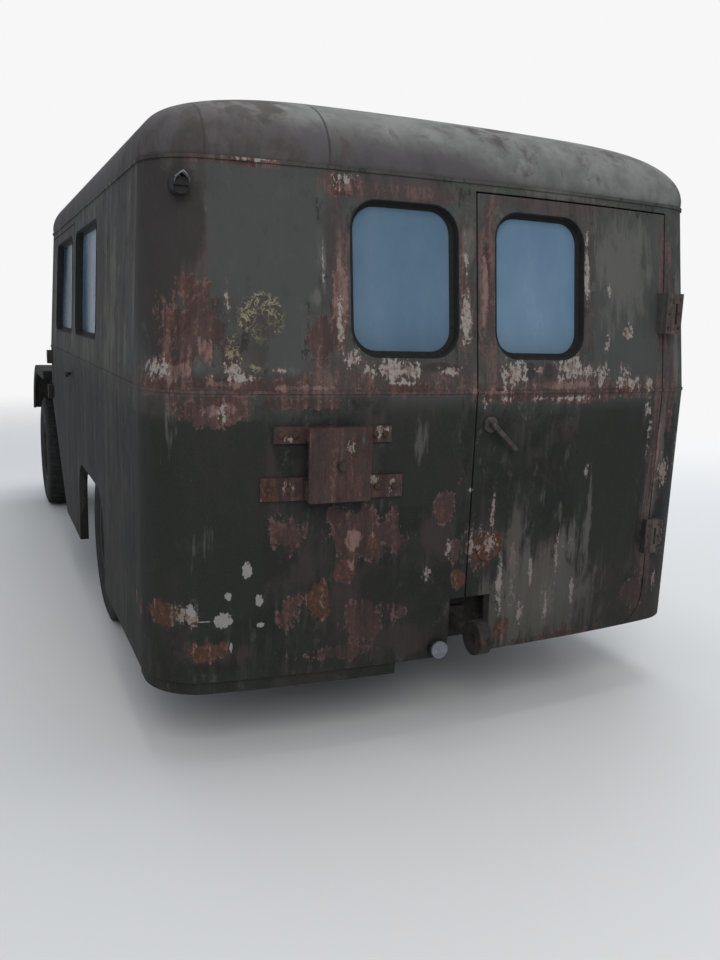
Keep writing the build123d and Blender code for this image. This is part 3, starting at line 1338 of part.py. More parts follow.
# Exhaust: silencer, front pipe and tail pipe
exhaust_route = [
    (-ENGINE_HALF - 60, ENGINE_REAR + 150, PIPE_Z + 150),
    (-ENGINE_HALF - 60, ENGINE_REAR + 150, PIPE_Z),
    (-ENGINE_HALF - 60, ENGINE_REAR - 350, PIPE_Z),
    (SILENCER_X, ENGINE_REAR - 800, PIPE_Z),
    (SILENCER_X, SILENCER_FRONT - 1, PIPE_Z),
]
with BuildPart() as exhaust:
    add(tube((SILENCER_X, SILENCER_REAR, PIPE_Z), (SILENCER_X, SILENCER_FRONT, PIPE_Z), SILENCER_R))
    with BuildLine():
        FilletPolyline(*exhaust_route, radius=PIPE_BEND_R)
    with BuildSketch(Plane(origin=exhaust_route[0], z_dir=(0, 0, -1))):
        Circle(PIPE_R)
    sweep()
    add(tube((SILENCER_X, SILENCER_REAR + 1, PIPE_TAIL_Z), (SILENCER_X, PIPE_END_Y, PIPE_TAIL_Z), PIPE_R))
    for y in (SILENCER_REAR + 80, SILENCER_FRONT - 120):
        add(block((SILENCER_X - 15, y, PIPE_Z), (SILENCER_X + 15, y + 30, FLOOR_LOW - SEAT_GAP)))
exhaust.part.label = "exhaust"

with BuildPart() as fuel_tank:
    tank_low = (TANK_IN, TANK_REAR, TANK_LOW)
    add(soft_block(tank_low, (TANK_OUT, TANK_FRONT, TANK_TOP), TANK_EDGE_R))
    for y in (TANK_REAR + 80, TANK_FRONT - 120):
        add(block((RAIL_OUT + SEAT_GAP, y, RAIL_LOW + 10), (TANK_IN + TANK_EDGE_R, y + 40, RAIL_LOW + 50)))
fuel_tank.part.label = "fuel_tank"

# Towing pintle: plate, shank and an open jaw with its latch
with BuildPart() as pintle_hook:
    plate_y = RAIL_REAR - SEAT_GAP
    jaw_y = REAR_Y - PINTLE_REACH + PINTLE_JAW_R
    add(block((-PINTLE_PLATE, plate_y - 14, PINTLE_Z - PINTLE_PLATE), (PINTLE_PLATE, plate_y, PINTLE_Z + PINTLE_PLATE)))
    add(tube((0, plate_y - 13, PINTLE_Z), (0, jaw_y, PINTLE_Z), PINTLE_SHANK_R))
    jaw_plane = Plane.YZ.offset(-PINTLE_JAW_W / 2)
    with BuildSketch(jaw_plane):
        with Locations((jaw_y, PINTLE_Z)):
            Circle(PINTLE_JAW_R)
    extrude(amount=PINTLE_JAW_W)
    with BuildSketch(jaw_plane.offset(-1)):
        with Locations((jaw_y, PINTLE_Z)):
            Circle(PINTLE_EYE_R)
    extrude(amount=PINTLE_JAW_W + 2, mode=Mode.SUBTRACT)
pintle_hook.part.label = "pintle_hook"

pieces = [
    chassis_frame, body_floor, rear_wall, side_panel_left, side_panel_right, roof, cab_front,
    rear_door, cab_door_left, cab_door_right, bonnet, radiator_grille, front_fenders, front_bumper,
    body_glass, rear_door_glass, cab_door_glass_left, cab_door_glass_right, rear_door_handle,
    spare_wheel_bracket, pintle_hook, headlamps, rear_lamps, lamp_glass, front_axle, rear_axle,
    leaf_springs, knuckle_left, knuckle_right, tie_rod, steering_wheel, seat_cushions, seat_backs,
    stretcher_rack, engine_and_drive, exhaust, fuel_tank, *wheels,
]
for piece in pieces:
    export_step(piece.part, f"parts/{piece.part.label}.step")
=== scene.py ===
"""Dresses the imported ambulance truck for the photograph's view: weathered paint, rubber, treads, seats, lamps.

Everything is in metres in the row frame: +X right, +Y forward, +Z up, the tyres stand on Z = 0.
"""

import math

import bmesh
import bpy
from mathutils import Matrix, Vector


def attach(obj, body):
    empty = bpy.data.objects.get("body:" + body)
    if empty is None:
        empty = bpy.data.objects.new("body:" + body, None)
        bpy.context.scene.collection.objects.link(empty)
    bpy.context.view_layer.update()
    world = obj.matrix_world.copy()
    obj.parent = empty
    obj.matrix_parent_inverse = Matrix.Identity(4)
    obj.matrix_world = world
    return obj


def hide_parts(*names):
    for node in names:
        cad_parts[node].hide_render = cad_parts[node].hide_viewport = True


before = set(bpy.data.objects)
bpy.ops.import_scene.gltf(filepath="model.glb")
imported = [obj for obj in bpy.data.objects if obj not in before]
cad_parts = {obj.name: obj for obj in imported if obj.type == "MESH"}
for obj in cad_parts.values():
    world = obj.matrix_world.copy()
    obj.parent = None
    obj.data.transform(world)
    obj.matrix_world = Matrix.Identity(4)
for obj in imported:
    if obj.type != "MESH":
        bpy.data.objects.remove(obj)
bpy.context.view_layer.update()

SILL, WAIST, SEAM = 0.275, 1.18, 1.85
HALF, TUMBLE = 1.05, 0.025
REAR, LEAN_TOP, LEAN_SILL, BOW = -2.28, 0.078, 0.010, 0.084
NOSE, RAKE = 1.25, 0.15
AXLES = {"front": (0.96, 1.89), "rear": (0.895, -0.76)}
AXLE_Z = 0.395
HANDS = (("left", -1), ("right", 1))


# Places on the body's skin
def half_at(z):
    return HALF - TUMBLE * max(0.0, z - WAIST) / (SEAM - WAIST)


def rear_at(x, z):
    """y of the bowed rear wall's skin."""
    half = half_at(z)
    bow = BOW * (half / HALF) ** 2
    radius = (half**2 + bow**2) / (2 * bow)
    lean = LEAN_TOP * (z - WAIST) / (SEAM - WAIST) if z > WAIST else LEAN_SILL * (WAIST - z) / (WAIST - SILL)
    return REAR + lean + radius - math.sqrt(radius**2 - x**2)


def nose_at(z):
    return NOSE - RAKE * max(0.0, z - WAIST) / (SEAM - WAIST)


def on_rear(u, v, proud):
    return Vector((u, rear_at(u, v) - proud, v))


def on_side(side):
    return lambda u, v, proud: Vector((side * (half_at(v) + proud), u, v))


def on_nose(u, v, proud):
    return Vector((u, nose_at(v) + proud, v))


# Materials
class Tree:
    """A node material with short names for the nodes used here. xyz are the places on the object at rest."""

    def __init__(self, name):
        self.material = bpy.data.materials.new(name)
        self.material.use_nodes = True
        self.nodes = self.material.node_tree.nodes
        self.links = self.material.node_tree.links
        self.shader = self.nodes["Principled BSDF"]
        self.place = self.nodes.new("ShaderNodeTexCoord").outputs["Object"]
        split = self.nodes.new("ShaderNodeSeparateXYZ")
        self.links.new(self.place, split.inputs[0])
        self.x, self.y, self.z = split.outputs

    def _feed(self, socket, value):
        if isinstance(value, bpy.types.NodeSocket):
            self.links.new(value, socket)
        else:
            socket.default_value = value

    def math(self, operation, a, b=0.0):
        node = self.nodes.new("ShaderNodeMath")
        node.operation = operation
        self._feed(node.inputs[0], a)
        self._feed(node.inputs[1], b)
        return node.outputs[0]

    def vector(self, operation, a, b):
        node = self.nodes.new("ShaderNodeVectorMath")
        node.operation = operation
        self._feed(node.inputs[0], a)
        self._feed(node.inputs[1], b)
        return node.outputs["Value" if operation in ("LENGTH", "DOT_PRODUCT") else "Vector"]

    def noise(self, scale, detail=4.0, roughness=0.55, stretch=(1, 1, 1), shift=(0, 0, 0), warp=0.0):
        place = self.vector("MULTIPLY", self.vector("ADD", self.place, shift), stretch)
        node = self.nodes.new("ShaderNodeTexNoise")
        self.links.new(place, node.inputs["Vector"])
        node.inputs["Scale"].default_value = scale
        node.inputs["Detail"].default_value = detail
        node.inputs["Roughness"].default_value = roughness
        node.inputs["Distortion"].default_value = warp
        return node.outputs["Fac"]

    def step(self, value, low, high):
        """0 below low, 1 above high, smooth between; low above high turns it round."""
        node = self.nodes.new("ShaderNodeMapRange")
        node.interpolation_type = "SMOOTHSTEP"
        self._feed(node.inputs["Value"], value)
        flip = low > high
        node.inputs["From Min"].default_value = min(low, high)
        node.inputs["From Max"].default_value = max(low, high)
        node.inputs["To Min"].default_value = 1.0 if flip else 0.0
        node.inputs["To Max"].default_value = 0.0 if flip else 1.0
        return node.outputs["Result"]

    def mix(self, amount, a, b):
        node = self.nodes.new("ShaderNodeMix")
        node.data_type = "RGBA"
        self._feed(node.inputs["Factor"], amount)
        self._feed(node.inputs["A"], a if isinstance(a, bpy.types.NodeSocket) else (*a, 1.0))
        self._feed(node.inputs["B"], b if isinstance(b, bpy.types.NodeSocket) else (*b, 1.0))
        return node.outputs["Result"]

    def add(self, *values):
        """The sum of the values, taken from the last one backwards."""
        out = values[-1]
        for value in reversed(values[:-1]):
            out = self.math("ADD", value, out)
        return out

    def minus(self, a, b):
        return self.math("SUBTRACT", a, b)

    def times(self, *values):
        out = values[0]
        for value in values[1:]:
            out = self.math("MULTIPLY", out, value)
        return out

    def field(self, areas, square=False):
        """How deep a place lies in the nearest area: amount at its middle, amount - 1 on its edge."""
        best = None
        for x, z, half_w, half_h, amount in areas:
            offset = self.vector("SUBTRACT", self.place, (x, 0, z))
            offset = self.vector("MULTIPLY", offset, (1 / half_w, 0, 1 / half_h))
            if square:
                apart = self.nodes.new("ShaderNodeSeparateXYZ")
                self.links.new(self.vector("ABSOLUTE", offset, (0, 0, 0)), apart.inputs[0])
                reach = self.math("MAXIMUM", apart.outputs[0], apart.outputs[2])
            else:
                reach = self.vector("LENGTH", offset, (0, 0, 0))
            depth = self.math("SUBTRACT", amount, reach)
            best = depth if best is None else self.math("MAXIMUM", best, depth)
        return best

    def finish(self, color, rough, bump=None, strength=0.3, distance=0.002, metallic=0.0):
        self._feed(self.shader.inputs["Base Color"], color if isinstance(color, bpy.types.NodeSocket) else (*color, 1))
        self._feed(self.shader.inputs["Roughness"], rough)
        self._feed(self.shader.inputs["Metallic"], metallic)
        if bump is not None:
            node = self.nodes.new("ShaderNodeBump")
            node.inputs["Strength"].default_value = strength
            node.inputs["Distance"].default_value = distance
            self.links.new(bump, node.inputs["Height"])
            self.links.new(node.outputs["Normal"], self.shader.inputs["Normal"])
        return self.material


# Colours of the old paint and of what shows through it
GREEN = (0.064, 0.066, 0.060)
PANEL = (0.060, 0.064, 0.060)
SHADE = (0.032, 0.027, 0.026)
# LOW: the paint below the waist, darker partly in its own tone and partly as painted shade
LOW = (0.016, 0.018, 0.015)
BROWN = (0.072, 0.055, 0.051)
RUST = (0.090, 0.043, 0.036)
RUST_DEEP = (0.040, 0.023, 0.020)
PINK = (0.215, 0.130, 0.112)
ORANGE = (0.088, 0.040, 0.026)
CREAM = (0.285, 0.265, 0.238)
WHITE = (0.235, 0.230, 0.215)
LICHEN = (0.150, 0.145, 0.075)
DRIP = (0.082, 0.080, 0.071)
ROOF_GREY = (0.190, 0.192, 0.182)
ROOF_BROWN = (0.082, 0.075, 0.077)


def metres(table):
    """Areas given as x, z, half width and half height in mm and how much in percent."""
    return {
        kind: [(x / 1000, z / 1000, wide / 1000, high / 1000, much / 100) for x, z, wide, high, much in rows]
        for kind, rows in table.items()
    }


# Areas on the rear wall by what shows there
AREAS = metres({
    "rust": [
        (-906, 1357, 85, 113, 100), (-927, 1475, 50, 56, 62), (-979, 1259, 44, 40, 80), (-819, 1296, 35, 69, 70),
        (-460, 1794, 48, 38, 80), (-480, 1434, 35, 167, 85), (-535, 1337, 57, 89, 80), (-772, 1205, 280, 29, 85),
        (-264, 1195, 260, 25, 65), (-871, 1128, 109, 44, 100), (-606, 1146, 217, 24, 65), (-382, 725, 131, 80, 100),
        (-478, 793, 43, 45, 85), (-632, 749, 82, 83, 60), (-381, 439, 98, 83, 80), (-624, 488, 78, 106, 45),
        (-453, 336, 145, 35, 75), (-102, 799, 45, 58, 90), (-43, 643, 39, 70, 60), (28, 644, 48, 121, 75),
        (-235, 451, 22, 25, 80), (37, 1573, 27, 279, 50), (86, 1171, 103, 30, 75), (337, 1162, 423, 28, 70),
        (614, 1179, 229, 39, 65), (824, 878, 34, 311, 45), (787, 408, 74, 99, 80), (-769, 1842, 98, 22, 60),
        (428, 286, 292, 24, 65), (895, 1141, 40, 303, 30), (-420, 1902, 96, 35, 50),
    ],
    "band": [
        (40, 1516, 35, 299, 100), (-47, 1512, 30, 264, 90), (-473, 1458, 32, 220, 90), (-281, 1207, 360, 40, 100),
        (-802, 1193, 316, 32, 100), (379, 1192, 416, 41, 100), (830, 839, 45, 470, 90), (838, 1508, 44, 333, 80),
        (-274, 1792, 306, 24, 80), (-781, 1841, 201, 20, 70), (-860, 1128, 127, 41, 80),
    ],
    "orange": [
        (-526, 523, 43, 77, 100), (-452, 604, 41, 43, 95), (-28, 547, 39, 43, 95), (-1003, 494, 58, 51, 80),
        (-870, 374, 61, 46, 75), (76, 647, 65, 79, 85), (154, 348, 34, 49, 90), (-350, 707, 35, 67, 55),
        (-498, 477, 30, 34, 60),
    ],
    "cream": [
        (-933, 499, 33, 38, 80), (-763, 1851, 87, 14, 50), (-457, 1812, 38, 32, 45), (-372, 1887, 42, 21, 45),
        (-436, 1878, 32, 20, 35), (-818, 1436, 12, 68, 55), (-527, 1568, 9, 123, 35), (-474, 1383, 19, 107, 45),
        (-441, 1279, 29, 33, 70), (-291, 1250, 96, 31, 90), (-100, 1252, 44, 22, 75), (-44, 1405, 22, 127, 62),
        (-39, 1594, 19, 75, 35), (-26, 1772, 22, 25, 40), (-1012, 1247, 30, 31, 55), (-812, 1245, 35, 32, 60),
        (-652, 1244, 52, 9, 65), (-840, 1125, 17, 41, 55), (-786, 1222, 176, 20, 30), (-268, 1210, 138, 12, 45),
        (150, 1240, 53, 49, 78), (374, 1260, 67, 41, 80), (249, 1247, 34, 37, 45), (516, 1219, 19, 28, 85),
        (613, 1208, 20, 25, 85), (684, 1207, 36, 25, 85), (767, 1203, 21, 25, 75), (337, 1158, 400, 17, 22),
        (268, 564, 11, 97, 55), (374, 631, 12, 97, 50), (464, 443, 15, 101, 45), (231, 397, 18, 83, 45),
        (349, 382, 14, 77, 45), (446, 1247, 277, 34, 30), (26, 1145, 12, 30, 75), (772, 1114, 22, 45, 55),
        (556, 1528, 19, 24, 60), (646, 1385, 25, 28, 85), (548, 1348, 19, 35, 35), (453, 1622, 18, 155, 45),
        (-153, 576, 23, 24, 45), (87, 763, 16, 106, 55), (138, 490, 17, 103, 60), (70, 676, 57, 85, 35),
        (11, 663, 16, 99, 35), (484, 898, 14, 29, 45), (785, 994, 22, 160, 30), (882, 866, 35, 59, 70),
        (906, 603, 47, 74, 50), (896, 441, 18, 46, 65), (966, 958, 18, 79, 45), (-78, 660, 12, 38, 45),
    ],
    "pale": [
        (-527, 1568, 13, 129, 95), (-35, 1632, 37, 219, 70), (830, 761, 51, 317, 85), (343, 436, 260, 199, 125),
        (187, 702, 77, 180, 75), (514, 636, 25, 268, 70), (618, 1604, 177, 243, 95), (332, 1835, 391, 33, 60),
        (851, 991, 34, 230, 70), (912, 1401, 34, 445, 80), (-551, 1467, 28, 35, 90), (-36, 1443, 30, 158, 60),
    ],
    "pink": [
        (-43, 1506, 33, 283, 35), (184, 594, 21, 110, 50), (358, 426, 140, 92, 35), (-476, 1458, 32, 149, 90),
        (-885, 1295, 45, 74, 60), (-957, 1237, 50, 45, 60), (-859, 1204, 115, 23, 60), (8, 1181, 153, 23, 45),
        (-415, 711, 54, 46, 45), (835, 916, 28, 271, 50), (32, 1477, 23, 319, 45), (-454, 1795, 38, 35, 55),
        (-863, 1128, 86, 29, 55), (335, 1203, 308, 27, 55), (-607, 1194, 186, 18, 50),
    ],
    "white": [
        (-761, 632, 15, 26, 100), (-819, 552, 12, 13, 100), (-723, 532, 13, 20, 100), (-831, 475, 27, 26, 100),
        (-716, 453, 13, 10, 90), (-808, 385, 6, 17, 90), (-927, 508, 24, 26, 70), (-888, 476, 33, 3, 60),
        (-3, 854, 8, 7, 100),
    ],
    "drip": [
        (270, 641, 44, 140, 95), (289, 809, 22, 50, 80), (366, 749, 23, 48, 110), (425, 626, 52, 106, 100),
        (344, 428, 213, 130, 85), (193, 484, 60, 171, 95), (514, 636, 25, 237, 75), (503, 1649, 56, 170, 80),
        (657, 1711, 110, 118, 60), (-988, 1070, 39, 175, 40), (-204, 1028, 43, 110, 55), (-888, 721, 89, 187, 35),
    ],
    "brown": [
        (335, 523, 230, 227, 80), (-923, 1427, 118, 186, 95), (-847, 1613, 74, 112, 45), (-973, 1171, 84, 75, 60),
        (833, 360, 139, 109, 80), (-442, 513, 206, 204, 70), (-858, 366, 153, 59, 60), (-113, 724, 113, 172, 60),
        (-626, 626, 225, 196, 60), (-991, 553, 117, 158, 55), (-241, 353, 223, 93, 70), (-274, 1792, 289, 54, 90),
        (-492, 1634, 44, 205, 90), (-42, 1569, 41, 282, 90), (-281, 1244, 328, 49, 95), (-757, 1205, 326, 41, 110),
        (-282, 1195, 311, 44, 100), (379, 1179, 408, 41, 95), (-1044, 982, 56, 235, 60), (-756, 947, 181, 122, 55),
        (332, 1799, 347, 39, 85), (41, 1573, 38, 286, 90), (335, 1226, 398, 54, 85), (874, 1327, 67, 408, 80),
        (-798, 1840, 229, 33, 80), (830, 839, 68, 470, 80), (-563, 655, 229, 164, 55), (71, 658, 81, 178, 75),
    ],
    "panel": [
        (-705, 1644, 166, 200, 100), (-649, 1364, 52, 117, 100), (644, 1501, 160, 294, 100), (591, 855, 161, 331, 100),
        (-903, 799, 193, 308, 100), (-191, 996, 137, 189, 100),
    ],
    "dark": [
        (-1012, 1576, 60, 304, 115), (-932, 1678, 66, 166, 95), (-977, 1313, 83, 169, 80), (-852, 1444, 51, 170, 45),
        (-958, 1546, 33, 100, 65), (-989, 922, 85, 269, 60), (-136, 1258, 65, 19, 110), (211, 1247, 21, 30, 110),
        (287, 1247, 21, 30, 110), (657, 851, 156, 304, 55), (-752, 666, 278, 192, 55), (-321, 536, 214, 172, 45),
    ],
    "lichen": [
        (-717, 1391, 68, 75, 100), (-807, 1314, 32, 52, 75), (-739, 1249, 27, 23, 70),
    ],
})
# Areas on the bracket of the spare wheel
BRACKET_AREAS = metres({
    "rust": [
        (-493, 964, 226, 187, 130),
    ],
    "cream": [
        (-345, 1058, 30, 22, 45), (-296, 894, 21, 39, 55), (-379, 910, 34, 19, 60), (-639, 1041, 31, 18, 30),
        (-636, 888, 37, 25, 40), (-469, 1020, 26, 31, 35),
    ],
    "orange": [
        (-709, 878, 30, 37, 90), (-455, 1007, 33, 62, 50),
    ],
    "drip": [
        (-417, 1037, 33, 31, 60),
    ],
})


ROOF_SEAMS_X = (-0.87, -0.50)


def weathered(name, areas=None, waist=True, roof=False, side=False, deep=False, rust=0.5, tint=1.0):
    """Old dull green paint, darker below the waist partly in its own tone and partly as painted shade, worn through by
    noise and in the areas given.

    roof and side add what those faces show, the roof's pale top partly painted skylight; deep darkens the grille
    behind its slats' front edges.
    """
    t = Tree(name)
    areas = areas or {}
    broad = t.noise(2.4, 4.0, 0.6, shift=(3.1, 1.7, 0.4))
    cloud = t.noise(8.0, 5.0, 0.66, shift=(0.3, 5.1, 2.2))
    ragged = t.noise(12.0, 6.0, 0.70, stretch=(1, 1, 0.6), shift=(1, 1, 1), warp=0.6)
    flecks = t.noise(80.0, 4.0, 0.68, stretch=(1, 1, 0.75), warp=0.3)
    runs = t.noise(34.0, 5.0, 0.66, stretch=(1, 1, 0.11), shift=(0.7, 0.1, 0.2))
    grit = t.noise(330.0, 2.0, 0.6)
    rag = t.minus(ragged, 0.5)
    sharp = t.minus(flecks, 0.5)
    streak = t.minus(runs, 0.5)

    def scaled(color, share=1.0):
        return tuple(c * share * tint for c in color)

    def rising(low, high, below, above):
        """One tone below a height, the other above it."""
        return t.mix(t.step(t.z, low, high), below, above)

    def torn(kind, *shares, square=False):
        """How deep a place lies in the areas of a kind, their edges torn by (noise, share)."""
        return t.add(t.field(areas[kind], square), *(t.times(noise, share) for noise, share in shares))

    # Top coat: cloudy, with faint brushed runs; the lower tone below the waist is darker partly as painted shade
    upper = t.mix(t.step(cloud, 0.36, 0.66), scaled(GREEN, 0.74), scaled(GREEN, 1.12))
    lower = t.mix(t.step(cloud, 0.36, 0.68), scaled(LOW, 0.72), scaled(LOW, 1.25))
    color = t.mix(t.step(t.add(t.z, t.times(rag, 0.25)), 1.02, 1.22), lower, upper) if waist else upper
    if roof:
        # Brown below and behind on the left, chalky grey on top and to the right: partly the roof's own chalked paint,
        # partly painted skylight on the top
        across = t.add(t.times(t.x, 0.13), t.times(t.minus(broad, 0.5), 0.22))
        rise = t.add(t.minus(t.z, 1.885), across)
        chalky_grey_and_skylight = t.mix(t.step(cloud, 0.40, 0.62), scaled(ROOF_GREY, 0.72), ROOF_GREY)
        color = t.mix(t.step(t.add(rise, t.times(rag, 0.16)), -0.05, 0.06), scaled(ROOF_BROWN), chalky_grey_and_skylight)
        blots = t.step(t.add(broad, t.times(rag, 0.5)), 0.55, 0.61)
        color = t.mix(t.times(blots, 0.80), color, scaled(ROOF_BROWN, 0.80))
        for seam_x in ROOF_SEAMS_X:
            apart = t.math("ABSOLUTE", t.add(t.minus(t.x, seam_x), t.times(rag, 0.006)))
            line = t.times(t.step(apart, 0.006, 0.002), t.step(t.y, -1.75, -1.95))
            color = t.mix(t.times(line, 0.8), color, (0.030, 0.028, 0.028))
    if side:
        # Sides darker below the waist, partly as painted shade
        low_side = t.mix(0.62, color, (0.006, 0.007, 0.006))
        color = t.mix(t.step(t.add(t.z, t.times(rag, 0.3)), 1.24, 1.06), color, low_side)
        mottle = t.step(t.noise(7.0, 5.0, 0.68, stretch=(1, 1, 0.4), shift=(5, 2, 8)), 0.44, 0.58)
        color = t.mix(t.times(mottle, 0.60), color, rising(1.06, 1.24, scaled(BROWN, 0.26), scaled(BROWN, 0.60)))
        # Broad pale and dark runs down from the gutter
        wide = t.noise(11.0, 6.0, 0.62, stretch=(1, 1, 0.13), shift=(4, 2, 1))
        wide = t.add(wide, t.times(t.minus(cloud, 0.5), 0.35))
        color = t.mix(t.times(t.step(wide, 0.48, 0.40), 0.55), color, t.mix(0.35, color, (0.008, 0.008, 0.007)))
        olive = rising(1.08, 1.30, (0.046, 0.048, 0.038), (0.120, 0.122, 0.095))
        color = t.mix(t.times(t.step(wide, 0.51, 0.60), 0.70), color, olive)
    # Brown stains, darker below the waist partly as painted shade
    earth = rising(0.98, 1.22, scaled(BROWN, 0.52), scaled(BROWN)) if waist else scaled(BROWN)
    earth = t.mix(t.step(t.add(runs, t.times(rag, 0.4)), 0.40, 0.60), t.mix(0.45, earth, (0.025, 0.022, 0.020)), earth)
    stain = t.step(t.add(broad, t.times(rag, 0.8)), 0.46, 0.62)
    color = t.mix(t.times(stain, 0.60), color, earth)
    color = t.mix(t.times(t.step(runs, 0.53, 0.68), 0.20), color, scaled(DRIP))
    murk = t.step(t.add(t.noise(5.0, 6.0, 0.65, stretch=(1, 1, 0.5), shift=(2, 9, 4)), t.times(rag, 0.3)), 0.50, 0.64)
    color = t.mix(t.times(murk, 0.50), color, t.mix(0.4, color, (0.012, 0.012, 0.010)))
    if not roof:
        # Scuffs: short pale strokes and small dark scabs
        scuffs = t.noise(22.0, 5.0, 0.70, stretch=(1, 1, 0.45), shift=(6, 3, 7))
        chafed = rising(0.98, 1.18, (0.058, 0.054, 0.045), (0.118, 0.108, 0.094))
        color = t.mix(t.times(t.step(scuffs, 0.585, 0.650), 0.55), color, chafed)
        color = t.mix(t.times(t.step(scuffs, 0.430, 0.370), 0.60), color, (0.012, 0.010, 0.009))
    if "brown" in areas:
        field = torn("brown", (rag, 1.6), (streak, 0.8))
        color = t.mix(t.times(t.step(field, -0.15, 0.35), 0.85), color, earth)
    if "dark" in areas:
        cover = t.step(torn("dark", (rag, 1.7)), -0.08, 0.30)
        color = t.mix(t.times(cover, 0.85), color, rising(0.9, 1.2, scaled(LOW, 0.8), SHADE))
    if "panel" in areas:
        cover = t.step(torn("panel", (rag, 0.30), square=True), -0.02, 0.07)
        color = t.mix(t.times(cover, 0.80), color, rising(1.10, 1.20, scaled(LOW, 1.10), scaled(PANEL)))
    if "band" in areas:
        # Stiles and ledges worn to a brownish pink
        field = torn("band", (rag, 1.3), (streak, 0.9), square=True)
        tone = t.mix(t.step(t.add(runs, t.times(sharp, 0.7)), 0.42, 0.64), scaled(BROWN, 0.80), scaled(PINK, 0.62))
        tone = rising(0.98, 1.18, t.mix(0.5, tone, scaled(BROWN, 0.5)), tone)
        color = t.mix(t.times(t.step(field, -0.12, 0.30), 0.80), color, tone)
    if "pale" in areas:
        field = torn("pale", (rag, 1.8), (streak, 2.0))
        chalky = rising(1.10, 1.25, (0.098 * tint, 0.088 * tint, 0.076 * tint), scaled(DRIP, 1.5))
        color = t.mix(t.times(t.step(field, 0.0, 0.60), 0.65), color, chalky)
    height = t.add(t.times(cloud, 0.25), t.times(broad, 1.4))

    # Red primer, first where the paint is thin, then in the areas
    thin = t.add(t.times(t.minus(cloud, 0.5), 0.9), t.times(rag, 0.9))
    thin = t.add(thin, t.times(sharp, 0.35))
    field = t.add(t.times(thin, 2.2), rust * 0.9 - 1.02)
    if "rust" in areas:
        local = torn("rust", (rag, 2.4), (streak, 1.1), (sharp, 0.4))
        field = t.math("MAXIMUM", field, local)
    bare = t.step(field, 0.0, 0.09)
    worn = t.mix(t.step(t.add(runs, t.times(sharp, 0.35)), 0.38, 0.62), scaled(RUST_DEEP), scaled(RUST))
    worn = t.mix(t.step(cloud, 0.40, 0.62), worn, t.mix(0.5, worn, scaled(BROWN, 0.9)))
    # Rust darker below the waist, partly as painted shade
    if waist:
        worn = rising(1.10, 0.90, worn, t.mix(0.35, worn, (0.022, 0.014, 0.013)))
    color = t.mix(t.times(bare, 0.92), color, worn)
    broken = t.step(t.add(flecks, t.times(streak, 0.5)), 0.52, 0.60)
    rim = t.times(t.step(field, -0.05, 0.06), t.step(field, 0.34, 0.12), broken)
    color = t.mix(t.times(rim, 0.60), color, scaled(PINK, 0.75))
    lit = t.times(bare, t.step(t.add(runs, t.times(sharp, 0.9)), 0.60, 0.70))
    bright = rising(0.9, 1.2, scaled(PINK, 0.5), scaled(PINK, 0.8)) if waist else scaled(PINK, 0.8)
    color = t.mix(t.times(lit, 0.50), color, bright)
    height = t.minus(height, t.times(bare, 0.45))
    if "orange" in areas:
        field = torn("orange", (rag, 2.2), (streak, 0.8))
        fresh = t.mix(t.step(flecks, 0.40, 0.62), scaled(ORANGE, 0.62), scaled(ORANGE))
        fresh = t.mix(t.step(t.add(runs, t.times(sharp, 0.8)), 0.56, 0.68), fresh, scaled(PINK, 0.85))
        color = t.mix(t.times(t.step(field, 0.0, 0.10), 0.92), color, fresh)
        height = t.minus(height, t.times(t.step(field, 0.0, 0.10), 0.3))
    if "pink" in areas:
        field = torn("pink", (rag, 2.2), (streak, 1.4), (sharp, 0.8))
        tone = t.mix(t.step(t.add(runs, t.times(sharp, 0.6)), 0.40, 0.62), scaled(PINK, 0.48), scaled(PINK))
        color = t.mix(t.times(t.step(field, 0.0, 0.22), 0.80), color, tone)
    if "drip" in areas:
        field = torn("drip", (streak, 5.0), (rag, 1.6))
        tone = rising(0.95, 1.25, scaled(DRIP), scaled(DRIP, 1.25))
        color = t.mix(t.times(t.step(field, 0.10, 0.75), 0.72), color, tone)
        color = t.mix(t.times(t.step(field, 0.75, 1.0), t.step(flecks, 0.55, 0.62), 0.6), color, scaled(CREAM, 0.65))
    if "lichen" in areas:
        # Curled flecks: thin bands where the noise passes through its middle
        curled = t.minus(t.noise(30.0, 6.0, 0.62, shift=(4, 0, 2), warp=0.6), 0.5)
        bands = t.step(t.math("ABSOLUTE", curled), 0.030, 0.012)
        field = torn("lichen", (rag, 1.6))
        ring = t.times(t.step(field, -0.05, 0.20), t.step(field, 1.05, 0.62))
        spots = t.math("MAXIMUM", bands, t.times(t.step(flecks, 0.56, 0.62), 0.8))
        color = t.mix(t.times(t.step(field, -0.1, 0.3), 0.55), color, scaled(BROWN, 0.75))
        color = t.mix(t.times(ring, spots, 0.80), color, t.mix(t.step(cloud, 0.4, 0.6), LICHEN, (0.30, 0.27, 0.17)))
        height = t.add(height, t.times(ring, spots, 0.5))
    if "cream" in areas:
        field = torn("cream", (rag, 2.2), (sharp, 3.2), (streak, 2.0))
        halo = t.times(t.step(field, -0.45, 0.05), t.step(t.add(runs, t.times(sharp, 0.4)), 0.42, 0.62))
        color = t.mix(t.times(halo, 0.50), color, rising(0.90, 1.20, scaled(DRIP, 1.1), scaled(PINK, 0.72)))
        flake = t.step(field, 0.0, 0.15)
        tone = t.mix(t.step(t.add(flecks, t.times(streak, 0.7)), 0.40, 0.60), scaled(PINK, 0.85), CREAM)
        tone = rising(0.90, 1.20, t.mix(0.45, tone, scaled(PINK, 0.7)), tone)
        color = t.mix(t.times(flake, 0.95), color, tone)
        height = t.add(height, t.times(flake, 0.55))
    if "white" in areas:
        field = torn("white", (sharp, 1.8), (rag, 0.8))
        spot = t.step(field, 0.0, 0.10)
        color = t.mix(spot, color, t.mix(t.step(flecks, 0.38, 0.5), scaled(CREAM, 0.8), WHITE))
        height = t.add(height, t.times(spot, 0.6))
